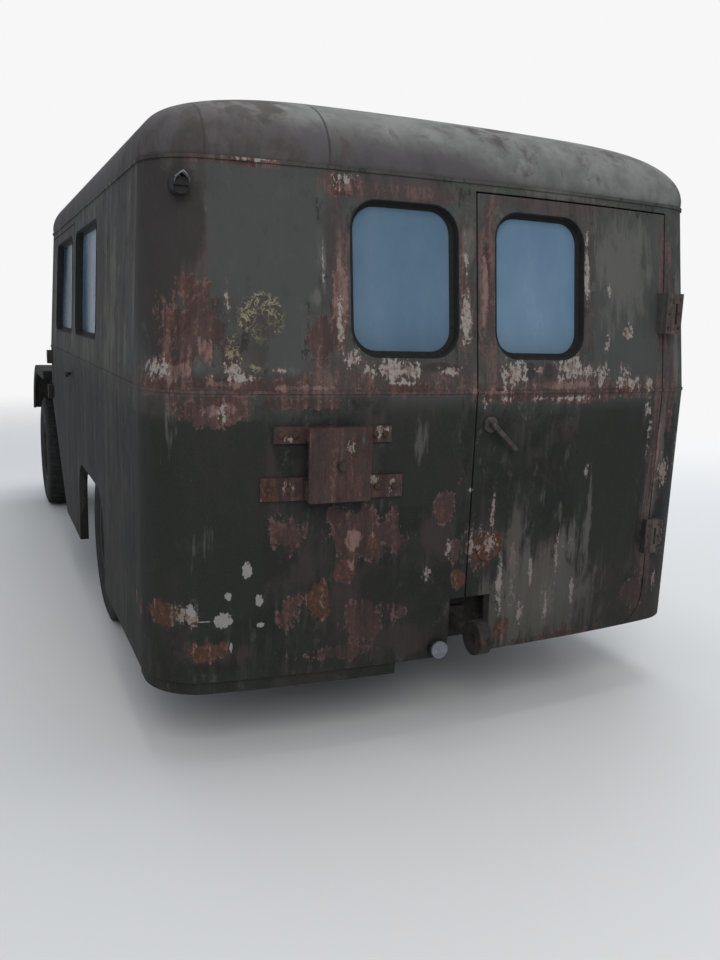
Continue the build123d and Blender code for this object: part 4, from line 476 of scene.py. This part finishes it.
    # Darker in patches towards the bottom, and fine dust
    darker_low_patches = t.times(t.step(broad, 0.40, 0.62), t.step(t.z, 0.55, 0.28), 0.6)
    color = t.mix(darker_low_patches, color, (0.022, 0.021, 0.018))
    color = t.mix(t.times(t.step(grit, 0.50, 0.80), 0.16), color, (0.13, 0.12, 0.105))
    if deep:
        # The slats fall into shadow behind their front edges
        color = t.mix(t.times(t.step(t.y, 2.229, 2.208), 0.92), color, (0.006, 0.006, 0.006))
    height = t.add(height, t.times(grit, 0.10))
    rough = t.add(t.times(cloud, 0.30), 0.60)
    t.shader.inputs["Specular IOR Level"].default_value = 0.22
    return t.finish(color, rough, height, 0.40, 0.003)


def plain(name, color, dark, scale=30.0, rough=0.7, bump=0.2, metallic=0.0, rust=0.0, stretch=(1, 1, 1)):
    """Two tones by noise with grain, for rubber, bare metal, cloth and small parts."""
    t = Tree(name)
    wide = t.noise(scale, 6.0, 0.65, stretch=stretch)
    small = t.noise(scale * 9, 4.0, 0.6, stretch=stretch)
    tone = t.mix(t.step(wide, 0.36, 0.66), dark, color)
    if rust:
        spots = t.step(t.noise(scale * 0.6, 6.0, 0.7, shift=(2, 5, 3)), 0.62 - 0.2 * rust, 0.70 - 0.1 * rust)
        tone = t.mix(spots, tone, t.mix(t.step(small, 0.4, 0.6), RUST_DEEP, RUST))
    tone = t.mix(t.times(t.step(small, 0.55, 0.8), 0.35), tone, tuple(min(1.0, c * 1.7 + 0.02) for c in color))
    roughness = t.add(t.times(wide, 0.2), rough - 0.1)
    t.shader.inputs["Specular IOR Level"].default_value = 0.5 if metallic else 0.2
    return t.finish(tone, roughness, t.add(wide, t.times(small, 0.5)), bump, 0.0015, metallic)


def cloth(name, color):
    """Coarse seat cloth: crossed threads over worn colour."""
    t = Tree(name)
    weave = t.times(*(t.step(t.math("SINE", t.times(way, 2600.0)), -0.7, 0.9) for way in (t.x, t.y)))
    wear = t.noise(7.0, 6.0, 0.65)
    tone = t.mix(t.step(wear, 0.4, 0.7), tuple(c * 0.6 for c in color), color)
    tone = t.mix(t.times(weave, 0.3), tone, tuple(c * 1.8 for c in color))
    material = t.finish(tone, 0.92, t.add(t.times(weave, 0.6), t.times(wear, 0.4)), 0.35, 0.001)
    t.shader.inputs["Sheen Weight"].default_value = 0.25
    return material


def window(name, share=1.0):
    """Dusty glass that is hardly seen through, its bluish tone a painted sky reflection, paler or darker by its share
    as painted reflection.
    """
    t = Tree(name)
    dust = t.noise(5.0, 5.0, 0.60, stretch=(1, 1, 0.5))
    specks = t.noise(150.0, 5.0, 0.7)
    film = t.step(dust, 0.32, 0.72)
    tone = t.mix(film, (0.098 * share, 0.168 * share, 0.248 * share), (0.128 * share, 0.206 * share, 0.282 * share))
    tone = t.mix(t.times(t.step(specks, 0.60, 0.72), 0.45), tone, (0.22, 0.26, 0.29))
    # Darker towards the bottom: a painted reflection of trees
    tone = t.mix(t.times(t.step(t.z, 1.42, 1.28), 0.35), tone, (0.075, 0.105, 0.130))
    material = t.finish(tone, t.add(t.times(film, 0.16), 0.14), dust, 0.04, 0.001)
    t.shader.inputs["Specular IOR Level"].default_value = 0.25
    t.shader.inputs["Alpha"].default_value = 0.86
    t.shader.inputs["IOR"].default_value = 1.5
    t.shader.inputs["Coat Weight"].default_value = 0.04
    return material


def lens(name, color):
    """Pressed glass with upright flutes."""
    t = Tree(name)
    flutes = t.math("SINE", t.times(t.x, 900.0))
    tone = t.mix(t.step(t.noise(60.0, 4.0), 0.4, 0.7), tuple(c * 0.7 for c in color), color)
    material = t.finish(tone, 0.35, flutes, 0.4, 0.001)
    t.shader.inputs["Coat Weight"].default_value = 0.1
    return material


def near(areas, low_x, high_x):
    """The areas that reach between two x, for the nodes that have their own material."""
    picked = {}
    for kind, rows in areas.items():
        rows = [row for row in rows if row[0] + 1.3 * row[2] > low_x and row[0] - 1.3 * row[2] < high_x]
        if rows:
            picked[kind] = rows
    return picked


PAINT = {
    "rear": weathered("rear_wall_paint", AREAS, rust=0.30),
    "door": weathered("rear_door_paint", near(AREAS, 0.0, 0.85), rust=0.28),
    "side": weathered("side_paint", side=True, rust=0.25),
    "roof": weathered("roof_paint", roof=True, rust=0.30),
    "front": weathered("front_paint", side=True, rust=0.35),
    "grille": weathered("grille_paint", side=True, deep=True, waist=False, rust=0.40, tint=1.1),
    "inside": weathered("inside_paint", waist=False, rust=0.10, tint=1.3),
    "bracket": weathered("bracket_paint", BRACKET_AREAS, waist=False, rust=1.05, tint=0.85),
}
RUBBER = plain("window_rubber", (0.016, 0.016, 0.017), (0.009, 0.009, 0.010), 60.0, 0.72, 0.15)
TYRE = plain("tyre_rubber", (0.030, 0.029, 0.028), (0.016, 0.016, 0.016), 22.0, 0.85, 0.25)
BLACK = plain("chassis_black", (0.030, 0.029, 0.027), (0.016, 0.015, 0.014), 18.0, 0.75, 0.25, rust=0.5)
STEEL = plain("worn_steel", (0.17, 0.155, 0.14), (0.075, 0.066, 0.058), 40.0, 0.55, 0.25, 0.5, rust=0.4)
RUSTY = plain("rusty_steel", (0.085, 0.052, 0.038), (0.036, 0.024, 0.019), 26.0, 0.85, 0.35, rust=0.6)
DARK_STEEL = plain("dark_steel", (0.085, 0.080, 0.072), (0.040, 0.036, 0.032), 40.0, 0.6, 0.25, 0.4, rust=0.3)
# Pale bluish grey of the marker hood: its tin with painted skylight on it
TIN_WITH_SKYLIGHT = plain("pale_tin", (0.215, 0.225, 0.245), (0.11, 0.115, 0.125), 55.0, 0.6, 0.2)
DARK_IRON = plain("dark_iron", (0.040, 0.034, 0.031), (0.018, 0.016, 0.015), 26.0, 0.8, 0.35, rust=0.25)
PLASTIC = plain("dark_rim", (0.022, 0.021, 0.020), (0.012, 0.012, 0.012), 35.0, 0.5, 0.1)
# Glass: the bluish tone is painted sky reflection; the rear door's pane is paler and the side panes darker as painted
# reflection
GLASS = window("window_pane")
DOOR_GLASS = window("rear_door_pane", 1.30)
SIDE_GLASS = window("side_pane", 0.50)
LENS = lens("lamp_lens", (0.15, 0.17, 0.20))
CLOTH = cloth("seat_cloth", (0.075, 0.070, 0.050))

FINISH = {
    "rear_wall": PAINT["rear"], "rear_door": PAINT["door"], "side_panel_left": PAINT["side"],
    "side_panel_right": PAINT["side"], "cab_door_left": PAINT["side"], "cab_door_right": PAINT["side"],
    "roof": PAINT["roof"], "cab_front": PAINT["front"], "bonnet": PAINT["front"], "radiator_grille": PAINT["grille"],
    "front_fenders": PAINT["front"], "front_bumper": PAINT["front"], "body_floor": PAINT["inside"],
    "stretcher_rack": PAINT["inside"], "spare_wheel_bracket": PAINT["bracket"], "headlamps": PAINT["front"],
    "body_glass": GLASS, "rear_door_glass": DOOR_GLASS, "cab_door_glass_left": SIDE_GLASS,
    "cab_door_glass_right": SIDE_GLASS, "lamp_glass": LENS, "rear_door_handle": DARK_STEEL,
    "pintle_hook": DARK_IRON, "rear_lamps": PLASTIC,
    "steering_wheel": PLASTIC, "seat_cushions": CLOTH, "seat_backs": CLOTH, "chassis_frame": BLACK,
    "front_axle": BLACK, "rear_axle": BLACK, "fuel_tank": BLACK, "leaf_springs": RUSTY, "knuckle_left": RUSTY,
    "knuckle_right": RUSTY, "tie_rod": RUSTY, "engine_and_drive": BLACK, "exhaust": RUSTY,
}
WHEEL = weathered("wheel_paint", waist=False, rust=0.6, tint=0.8)
for end in ("front", "rear"):
    for hand in ("left", "right"):
        FINISH[f"wheel_{end}_{hand}"] = WHEEL
        FINISH[f"tyre_{end}_{hand}"] = TYRE
for name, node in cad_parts.items():
    node.data.materials.clear()
    node.data.materials.append(FINISH[name])


# Pieces in mesh code
def piece(name, build, material, body, smooth=True, outward=True):
    """The shape in a bmesh as an object that rides on a body, its faces turned outward."""
    if outward:
        bmesh.ops.recalc_face_normals(build, faces=build.faces)
    mesh = bpy.data.meshes.new(name)
    build.to_mesh(mesh)
    build.free()
    obj = bpy.data.objects.new(name, mesh)
    bpy.context.scene.collection.objects.link(obj)
    mesh.materials.append(material)
    if smooth:
        mesh.polygons.foreach_set("use_smooth", [True] * len(mesh.polygons))
    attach(obj, body)
    return obj


def join_round(build, rings):
    """Faces between each ring and the next, the last one joined to the first."""
    for index, ring in enumerate(rings):
        following = rings[(index + 1) % len(rings)]
        for k in range(len(ring)):
            j = (k + 1) % len(ring)
            build.faces.new((ring[k], following[k], following[j], ring[j]))


def join_along(build, rings):
    """Faces between each ring and the next, with both ends left open."""
    for low, high in zip(rings, rings[1:]):
        for k in range(len(low)):
            j = (k + 1) % len(low)
            build.faces.new((low[k], low[j], high[j], high[k]))


def rounded(points, radius, steps=7):
    """(u, v, outward u, outward v) round a closed outline of straight sides with rounded corners, anticlockwise."""
    out = []
    count = len(points)
    for index in range(count):
        before, here, after = (Vector(points[(index + k) % count]) for k in (-1, 0, 1))
        a, b = (before - here).normalized(), (after - here).normalized()
        turn = math.pi - a.angle(b)
        reach = radius * math.tan(turn / 2)
        centre = here + (a + b).normalized() * (radius / math.cos(turn / 2))
        start = here + a * reach - centre
        first = math.atan2(start.y, start.x)
        for number in range(steps + 1):
            angle = first + turn * number / steps
            normal = Vector((math.cos(angle), math.sin(angle)))
            out.append((*(centre + normal * radius), *normal))
    return out


def rectangle(u0, u1, v0, v1):
    return [(u0, v0), (u1, v0), (u1, v1), (u0, v1)]


def swept_loop(name, place, outline, section, material, body):
    """A closed section (out, proud) carried round an outline on the skin."""
    build = bmesh.new()
    rings = []
    for u, v, nu, nv in outline:
        rings.append([build.verts.new(place(u + nu * out, v + nv * out, proud)) for out, proud in section])
    join_round(build, rings)
    return piece(name, build, material, body)


def lathe(name, profile, matrix, material, body, steps=72):
    """A closed (along, radius) profile turned about the local x axis."""
    build = bmesh.new()
    rings = []
    for number in range(steps):
        angle = math.tau * number / steps
        turned = [Vector((a, r * math.cos(angle), r * math.sin(angle))) for a, r in profile]
        rings.append([build.verts.new(matrix @ point) for point in turned])
    join_round(build, rings)
    return piece(name, build, material, body)


# A bolt head's rings: share of its radius, share of its height
BOLT_RINGS = ((1.0, -0.2), (1.0, 0.6), (0.72, 1.0))


def bolts(name, places, radius, height, material, body, sides=6):
    """Bolt heads or rivets at (point, outward direction), each a chamfered drum."""
    build = bmesh.new()
    for point, outward in places:
        turn = Vector(outward).normalized().to_track_quat("Z", "Y").to_matrix().to_4x4()
        rings = []
        for share, level in BOLT_RINGS:
            ring = []
            for number in range(sides):
                angle = math.tau * number / sides
                local = Vector((radius * share * math.cos(angle), radius * share * math.sin(angle), height * level))
                ring.append(build.verts.new(Vector(point) + turn @ local))
            rings.append(ring)
        join_along(build, rings)
        build.faces.new(rings[-1])
        build.faces.new(list(reversed(rings[0])))
    return piece(name, build, material, body, smooth=sides > 8, outward=False)


# Rubber lining in each window's reveal: a thin edge on the skin, the depth of the reveal, a flat band on the pane
OUTER_LIP = [
    (0.0026, 0.0002), (0.0022, 0.0018), (-0.0006, 0.0024), (-0.0022, 0.0008), (-0.0026, -0.0235),
    (-0.0045, -0.0258), (-0.0135, -0.0268), (-0.0168, -0.0280), (-0.0174, -0.0296), (-0.0004, -0.0296),
    (-0.0004, 0.0002),
]
INNER_LIP = [
    (0.0080, -0.0402), (-0.0004, -0.0402), (-0.0004, -0.0364), (-0.0200, -0.0364), (-0.0190, -0.0400),
    (-0.0120, -0.0440), (-0.0010, -0.0455), (0.0065, -0.0435),
]
SIDE_WINDOW = rectangle(-1.060, -0.320, 1.29, 1.762)
DOOR_WINDOW = [(-0.172, 1.29), (0.69, 1.29), (0.60, 1.762), (-0.172, 1.762)]
WINDOWS = [
    # name, place on the skin, outline, corner radius, body
    ("rear_left", on_rear, rectangle(-0.438, -0.071, 1.29, 1.762), 0.088, "chassis"),
    ("rear_right", on_rear, rectangle(0.071, 0.438, 1.29, 1.762), 0.088, "rear_door"),
    ("side_left", on_side(-1), SIDE_WINDOW, 0.06, "chassis"),
    ("side_right", on_side(1), SIDE_WINDOW, 0.06, "chassis"),
    ("door_left", on_side(-1), DOOR_WINDOW, 0.06, "cab_door_left"),
    ("door_right", on_side(1), DOOR_WINDOW, 0.06, "cab_door_right"),
    ("screen_left", on_nose, rectangle(-0.80, -0.045, 1.35, 1.75), 0.05, "chassis"),
    ("screen_right", on_nose, rectangle(0.045, 0.80, 1.35, 1.75), 0.05, "chassis"),
]
for name, place, outline, radius, body in WINDOWS:
    path = rounded(outline, radius)
    swept_loop(f"rubber_{name}", place, path, OUTER_LIP, RUBBER, body)
    swept_loop(f"rubber_{name}_inside", place, path, INNER_LIP, RUBBER, body)


# Tyres: worn bar tread on a ribbed carcass
# Half of the carcass from its middle: along the axle, radius
CARCASS = [
    (0.0, 0.2035), (0.077, 0.2035), (0.0775, 0.219), (0.086, 0.240), (0.096, 0.268), (0.0985, 0.292),
    (0.0965, 0.318), (0.0985, 0.322), (0.0955, 0.345), (0.089, 0.366), (0.080, 0.379), (0.060, 0.3835), (0.0, 0.3845),
]
# A bar from the middle outward: across, angle that it leans by, radius of its foot, radius of its top
BAR = [
    (0.006, 0.022, 0.380, 0.3948), (0.050, 0.006, 0.379, 0.3930), (0.082, 0, 0.372, 0.3850), (0.091, 0, 0.352, 0.3580),
]
BARS = 40
BAR_FOOT, BAR_TOP = 0.036, 0.036 * 0.78


def tread(name, side, x, y, body):
    matrix = Matrix.Translation((side * x, y, AXLE_Z)) @ Matrix.Diagonal((side, 1, 1, 1))
    profile = CARCASS + [(-a, r) for a, r in reversed(CARCASS[1:-1])]
    carcass = lathe(name, profile, matrix, TYRE, body)
    build = bmesh.new()
    for number in range(BARS):
        for hand in (-1, 1):
            middle = math.tau * (number + 0.25 * hand) / BARS
            grid = []
            for a, lean, low, high in BAR:
                row = []
                for offset, radius in ((-BAR_FOOT, low), (-BAR_TOP, high), (BAR_TOP, high), (BAR_FOOT, low)):
                    angle = middle + lean * hand + offset
                    point = Vector((hand * a, radius * math.cos(angle), radius * math.sin(angle)))
                    row.append(build.verts.new(matrix @ point))
                grid.append(row)
            for low, high in zip(grid, grid[1:]):
                for k in range(3):
                    build.faces.new((low[k], low[k + 1], high[k + 1], high[k]))
            build.faces.new(grid[0])
            build.faces.new(list(reversed(grid[-1])))
    bars = piece(name + "_bars", build, TYRE, body, smooth=False)
    return carcass, bars


WHEEL_NUTS, NUT_CIRCLE = 5, 0.085
for end, (x, y) in AXLES.items():
    for hand, side in HANDS:
        body = f"wheel_{end}_{hand}"
        carcass, bars = tread(f"tread_{end}_{hand}", side, x, y, body)
        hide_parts(f"tyre_{end}_{hand}")
        nuts = []
        for number in range(WHEEL_NUTS):
            angle = math.tau * number / WHEEL_NUTS
            point = (side * (x + 0.019), y + NUT_CIRCLE * math.cos(angle), AXLE_Z + NUT_CIRCLE * math.sin(angle))
            nuts.append((point, (side, 0, 0)))
        bolts(f"wheel_nuts_{end}_{hand}", nuts, 0.015, 0.014, STEEL, body)


# Seats
PAD_STEPS, PAD_POWER = 28, 5.0


def cushion(name, low, high, ribs, along, material, body):
    """A stuffed pad with sewn channels across its face."""
    build = bmesh.new()
    low, high = Vector(low), Vector(high)
    centre, half = (low + high) / 2, (high - low) / 2
    verts = {}

    def vert(key):
        if key not in verts:
            point = Vector([2 * k / PAD_STEPS - 1 for k in key])
            reach = sum(abs(c) ** PAD_POWER for c in point) ** (1 / PAD_POWER)
            verts[key] = build.verts.new([c / reach for c in point])
        return verts[key]

    for axis in range(3):
        a, b = (axis + 1) % 3, (axis + 2) % 3
        for level in (0, PAD_STEPS):
            for i in range(PAD_STEPS):
                for j in range(PAD_STEPS):
                    keys = []
                    for di, dj in ((0, 0), (1, 0), (1, 1), (0, 1)):
                        key = [0, 0, 0]
                        key[axis], key[a], key[b] = level, i + di, j + dj
                        keys.append(tuple(key))
                    build.faces.new([vert(key) for key in keys])
    bmesh.ops.recalc_face_normals(build, faces=build.faces)
    for v in build.verts:
        p = v.co.copy()
        face = 2 if along == "top" else 1
        groove = abs(math.sin(math.pi * ribs * (p.x + 1) / 2))
        press = (1 - groove) ** 4 * 0.10 if p[face] > 0.55 else 0.0
        crown = 0.12 * (1 - p.x**2) * (1 - p[3 - face] ** 2)
        p[face] = p[face] * (0.88 + (crown if p[face] > 0 else 0.0)) - press
        v.co = centre + Vector([p[k] * half[k] for k in range(3)])
    obj = piece(name, build, material, body, outward=False)
    return obj


SEAT_X, SEAT_HALF = 0.43, 0.23
seat_parts = {"seat_cushions": [], "seat_backs": []}
for hand, side in HANDS:
    x0, x1 = side * SEAT_X - SEAT_HALF, side * SEAT_X + SEAT_HALF
    seat_parts["seat_cushions"].append(
        cushion(f"cushion_{hand}", (x0, 0.19, 0.9503), (x1, 0.64, 1.0503), 5, "top", CLOTH, "chassis")
    )
    seat_parts["seat_backs"].append(
        cushion(f"seat_back_{hand}", (x0, 0.18, 1.0506), (x1, 0.28, 1.5706), 5, "front", CLOTH, "chassis")
    )
for node, parts in seat_parts.items():
    for part in parts:
        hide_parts(node)


# Bolts and rivets
STRAP_BOLTS = {1.052: (-0.664, -0.622, -0.364, -0.330), 0.885: (-0.700, -0.640, -0.352, -0.292)}
places = [(on_rear(x, z, 0.008), (0, -1, 0)) for z, row in STRAP_BOLTS.items() for x in row]
bolts("bracket_bolts", places, 0.011, 0.008, RUSTY, "chassis", 12)
hinge_screws = []
for z, half in ((1.458, 0.072), (0.625, 0.065)):
    for level in (-0.7, 0.0, 0.7):
        hinge_screws.append((0.859, z + level * half, "chassis"))
        hinge_screws.append((0.811, z + level * half, "rear_door"))
for body in ("chassis", "rear_door"):
    places = [((x, -2.2512, z), (0, -1, 0)) for x, z, rider in hinge_screws if rider == body]
    bolts(f"hinge_screws_{body}", places, 0.006, 0.003, RUSTY, body, 10)


# Rods, hoods and rims
def rod(name, points, radius, material, body, sides=10, smooth_steps=5):
    """A round rod through the points, its bends eased, with closed ends."""
    path = [Vector(p) for p in points]
    eased = [path[0]]
    for before, here, after in zip(path, path[1:], path[2:]):
        reach = min((before - here).length, (after - here).length) * 0.35
        first, last = here + (before - here).normalized() * reach, here + (after - here).normalized() * reach
        for number in range(smooth_steps + 1):
            share = number / smooth_steps
            eased.append(first.lerp(here, share).lerp(here.lerp(last, share), share))
    eased.append(path[-1])
    build = bmesh.new()
    rings = []
    side_way = None
    for index, point in enumerate(eased):
        ahead = (eased[min(index + 1, len(eased) - 1)] - eased[max(index - 1, 0)]).normalized()
        if side_way is None:
            side_way = ahead.orthogonal().normalized()
        side_way = (side_way - ahead * side_way.dot(ahead)).normalized()
        other = ahead.cross(side_way)
        ring = []
        for number in range(sides):
            angle = math.tau * number / sides
            ring.append(build.verts.new(point + (side_way * math.cos(angle) + other * math.sin(angle)) * radius))
        rings.append(ring)
    join_along(build, rings)
    build.faces.new(list(reversed(rings[0])))
    build.faces.new(rings[-1])
    return piece(name, build, material, body)


def facing(point, outward):
    """Placement whose local x points outward."""
    return Matrix.Translation(point) @ Vector(outward).to_track_quat("X", "Z").to_matrix().to_4x4()


# Pointed tin hood over the marker lamp on the left corner: half widths and heights of its outline
HOOD_HALF = [(0.022, -0.001), (0.022, 0.007), (0.019, 0.015), (0.010, 0.026)]
HOOD = [(-u, v) for u, v in HOOD_HALF] + [(0.0, 0.034)] + HOOD_HALF[::-1]
HOOD_WIDE, HOOD_TIN = 0.022, 0.0022
# Each cross-section: y, size, height that the front is cut back to
HOOD_ROWS = ((-2.128, 1.0, 0.0), (-2.160, 1.0, 0.0), (-2.186, 0.99, 0.022), (-2.197, 0.97, 0.034))
build = bmesh.new()
rows = []
for y, grow, cut in HOOD_ROWS:
    for inset in (0.0, HOOD_TIN):
        row = []
        for u, v in HOOD:
            scale = (grow * HOOD_WIDE - inset) / HOOD_WIDE
            height = 1.760 + max(v * scale, cut - 0.018)
            row.append(build.verts.new((-0.944 + u * scale, y - (0.010 if v > 0.022 else 0.0), height)))
        rows.append(row)
outer, inner = rows[0::2], rows[1::2]
for sheet in (outer, inner):
    for low, high in zip(sheet, sheet[1:]):
        for k in range(len(HOOD) - 1):
            build.faces.new((low[k], low[k + 1], high[k + 1], high[k]))
for k in range(len(HOOD) - 1):
    for a, b in ((outer[0], inner[0]), (outer[-1], inner[-1])):
        build.faces.new((a[k], a[k + 1], b[k + 1], b[k]))
for k in (0, -1):
    for level in range(len(outer) - 1):
        build.faces.new((outer[level][k], outer[level + 1][k], inner[level + 1][k], inner[level][k]))
piece("marker_hood", build, TIN_WITH_SKYLIGHT, "chassis")

# Round cover on the rear door above the sill, rusted through its paint
COVER = [
    (-0.006, 0.001), (-0.006, 0.044), (0.0015, 0.046), (0.0050, 0.045), (0.0058, 0.041), (0.0030, 0.036),
    (0.0045, 0.030), (0.0085, 0.014), (0.0092, 0.001),
]
COVER_X, COVER_Z = 0.076, 0.648
cover_place = facing((COVER_X, rear_at(COVER_X, COVER_Z) - 0.0005, COVER_Z), (0.03, -1, 0))
lathe("lower_cover", COVER, cover_place, PAINT["door"], "rear_door", 48)

# Headlamp rims
RIM = [
    (-0.010, 0.0965), (0.000, 0.0985), (0.008, 0.0965), (0.0105, 0.0915), (0.0085, 0.0875), (0.0060, 0.0890),
    (0.0045, 0.0945), (-0.008, 0.0945),
]
for hand, side in HANDS:
    lathe(f"headlamp_rim_{hand}", RIM, facing((side * 0.64, 1.934, 1.12), (0, 1, 0)), STEEL, "chassis", 56)

# Wiper arms and blades, the blades lying along the foot of each pane
for hand, side in HANDS:
    pivot = on_nose(side * 0.30, 1.315, 0.004)
    elbow = on_nose(side * 0.33, 1.335, 0.022)
    tip = on_nose(side * 0.52, 1.365, 0.008)
    rod(f"wiper_arm_{hand}", [pivot, elbow, tip], 0.0040, BLACK, "chassis", 8)
    blade = [on_nose(side * 0.36, 1.358, 0.0055), on_nose(side * 0.66, 1.372, 0.0055)]
    rod(f"wiper_blade_{hand}", blade, 0.0048, RUBBER, "chassis", 6)
    bolts(f"wiper_nut_{hand}", [(pivot, (0, 1, 0.1))], 0.011, 0.012, STEEL, "chassis", 6)

# Strap catches that hold the bonnet down, two a side
BONNET_REAR, BONNET_FRONT = 1.268, 2.176
for hand, side in HANDS:
    for number, y in enumerate((1.52, 1.98)):
        share = (y - BONNET_REAR) / (BONNET_FRONT - BONNET_REAR)
        x = side * (0.450 - 0.080 * share + 0.003)
        low = [(x + side * out, y, z) for out, z in ((0.012, 1.135), (0.012, 1.085), (0.002, 1.070))]
        points = [(x, y, 1.150 - 0.02 * share), *low]
        rod(f"bonnet_catch_{hand}_{number}", points, 0.0045, STEEL, "bonnet", 8)

# U-bolts that clamp the springs to the axles
for end, (x, y) in AXLES.items():
    for hand, side in HANDS:
        for number, shift in enumerate((-0.052, 0.052)):
            bent = ((0.413, 0.335), (0.413, 0.503), (0.487, 0.503), (0.487, 0.335))
            legs = [(side * apart, y + shift, z) for apart, z in bent]
            rod(f"u_bolt_{end}_{hand}_{number}", legs, 0.0060, RUSTY, "chassis", 8)

# Bolts that hold the bumper to the rails
spots = [(side * x, z) for side in (-1, 1) for x in (0.385, 0.435) for z in (0.515, 0.565)]
bolts("bumper_bolts", [((x, 2.4135, z), (0, 1, 0)) for x, z in spots], 0.011, 0.006, RUSTY, "chassis")

# Stage, light and camera
floor_mesh = bpy.data.meshes.new("floor")
FLOOR = 14.0
corners = [(-FLOOR, -FLOOR, 0), (FLOOR, -FLOOR, 0), (FLOOR, FLOOR, 0), (-FLOOR, FLOOR, 0)]
floor_mesh.from_pydata(corners, [], [(0, 1, 2, 3)])
floor = bpy.data.objects.new("floor", floor_mesh)
bpy.context.scene.collection.objects.link(floor)
floor_tree = Tree("pale_floor")
floor_reach = floor_tree.vector("LENGTH", floor_tree.vector("MULTIPLY", floor_tree.place, (1, 0.8, 0)), (0, 0, 0))
floor_mesh.materials.append(floor_tree.finish((0.74, 0.74, 0.73), 0.9))
floor_tree.links.new(floor_tree.step(floor_reach, 9.0, 3.0), floor_tree.shader.inputs["Alpha"])

world = bpy.data.worlds.new("studio")
bpy.context.scene.world = world
world.use_nodes = True
nodes, links = world.node_tree.nodes, world.node_tree.links
background = nodes["Background"]
background.inputs["Color"].default_value = (0.80, 0.86, 0.95, 1)
background.inputs["Strength"].default_value = 0.56
pale = nodes.new("ShaderNodeBackground")
pale.inputs["Color"].default_value = (0.93, 0.93, 0.93, 1)
pale.inputs["Strength"].default_value = 1.0
ray = nodes.new("ShaderNodeLightPath")
mixer = nodes.new("ShaderNodeMixShader")
links.new(ray.outputs["Is Camera Ray"], mixer.inputs["Fac"])
links.new(background.outputs[0], mixer.inputs[1])
links.new(pale.outputs[0], mixer.inputs[2])
links.new(mixer.outputs[0], nodes["World Output"].inputs["Surface"])


def area_light(name, place, target, size, power, color=(1, 1, 1)):
    light = bpy.data.lights.new(name, "AREA")
    light.size = size
    light.energy = power
    light.color = color
    obj = bpy.data.objects.new(name, light)
    obj.location = place
    obj.rotation_euler = (Vector(target) - Vector(place)).to_track_quat("-Z", "Y").to_euler()
    bpy.context.scene.collection.objects.link(obj)


area_light("key", (-2.2, -8.5, 6.2), (0, 0, 1.0), 5.0, 275.0, (1.0, 0.97, 0.93))
area_light("top", (1.0, 0.0, 8.0), (0, 0, 1.0), 6.0, 270.0)
area_light("fill", (7.0, 5.0, 4.0), (0, 0, 1.0), 5.0, 220.0, (0.93, 0.96, 1.0))

# Camera at the photograph's place: found from points of the rear wall
CAMERA = (-1.4967, -4.6615, 1.4004)
YAW, PITCH, ROLL = math.radians(24.4732), math.radians(10.6396), math.radians(1.8432)
FOCAL_PIXELS, PHOTO_HEIGHT, SENSOR = 851.53, 960.0, 36.0
forward = Vector((math.sin(YAW) * math.cos(PITCH), math.cos(YAW) * math.cos(PITCH), -math.sin(PITCH)))
right = forward.cross(Vector((0, 0, 1))).normalized()
up = right.cross(forward)
rolled_right = right * math.cos(ROLL) + up * math.sin(ROLL)
rolled_up = up * math.cos(ROLL) - right * math.sin(ROLL)
camera_data = bpy.data.cameras.new("camera")
camera = bpy.data.objects.new("camera", camera_data)
turn = Matrix((rolled_right, rolled_up, -forward)).transposed().to_4x4()
camera.matrix_world = Matrix.Translation(CAMERA) @ turn
camera_data.sensor_width = SENSOR
camera_data.sensor_height = SENSOR
camera_data.lens = FOCAL_PIXELS / PHOTO_HEIGHT * SENSOR
bpy.context.scene.collection.objects.link(camera)
bpy.context.scene.camera = camera
bpy.context.scene.view_settings.view_transform = "Standard"
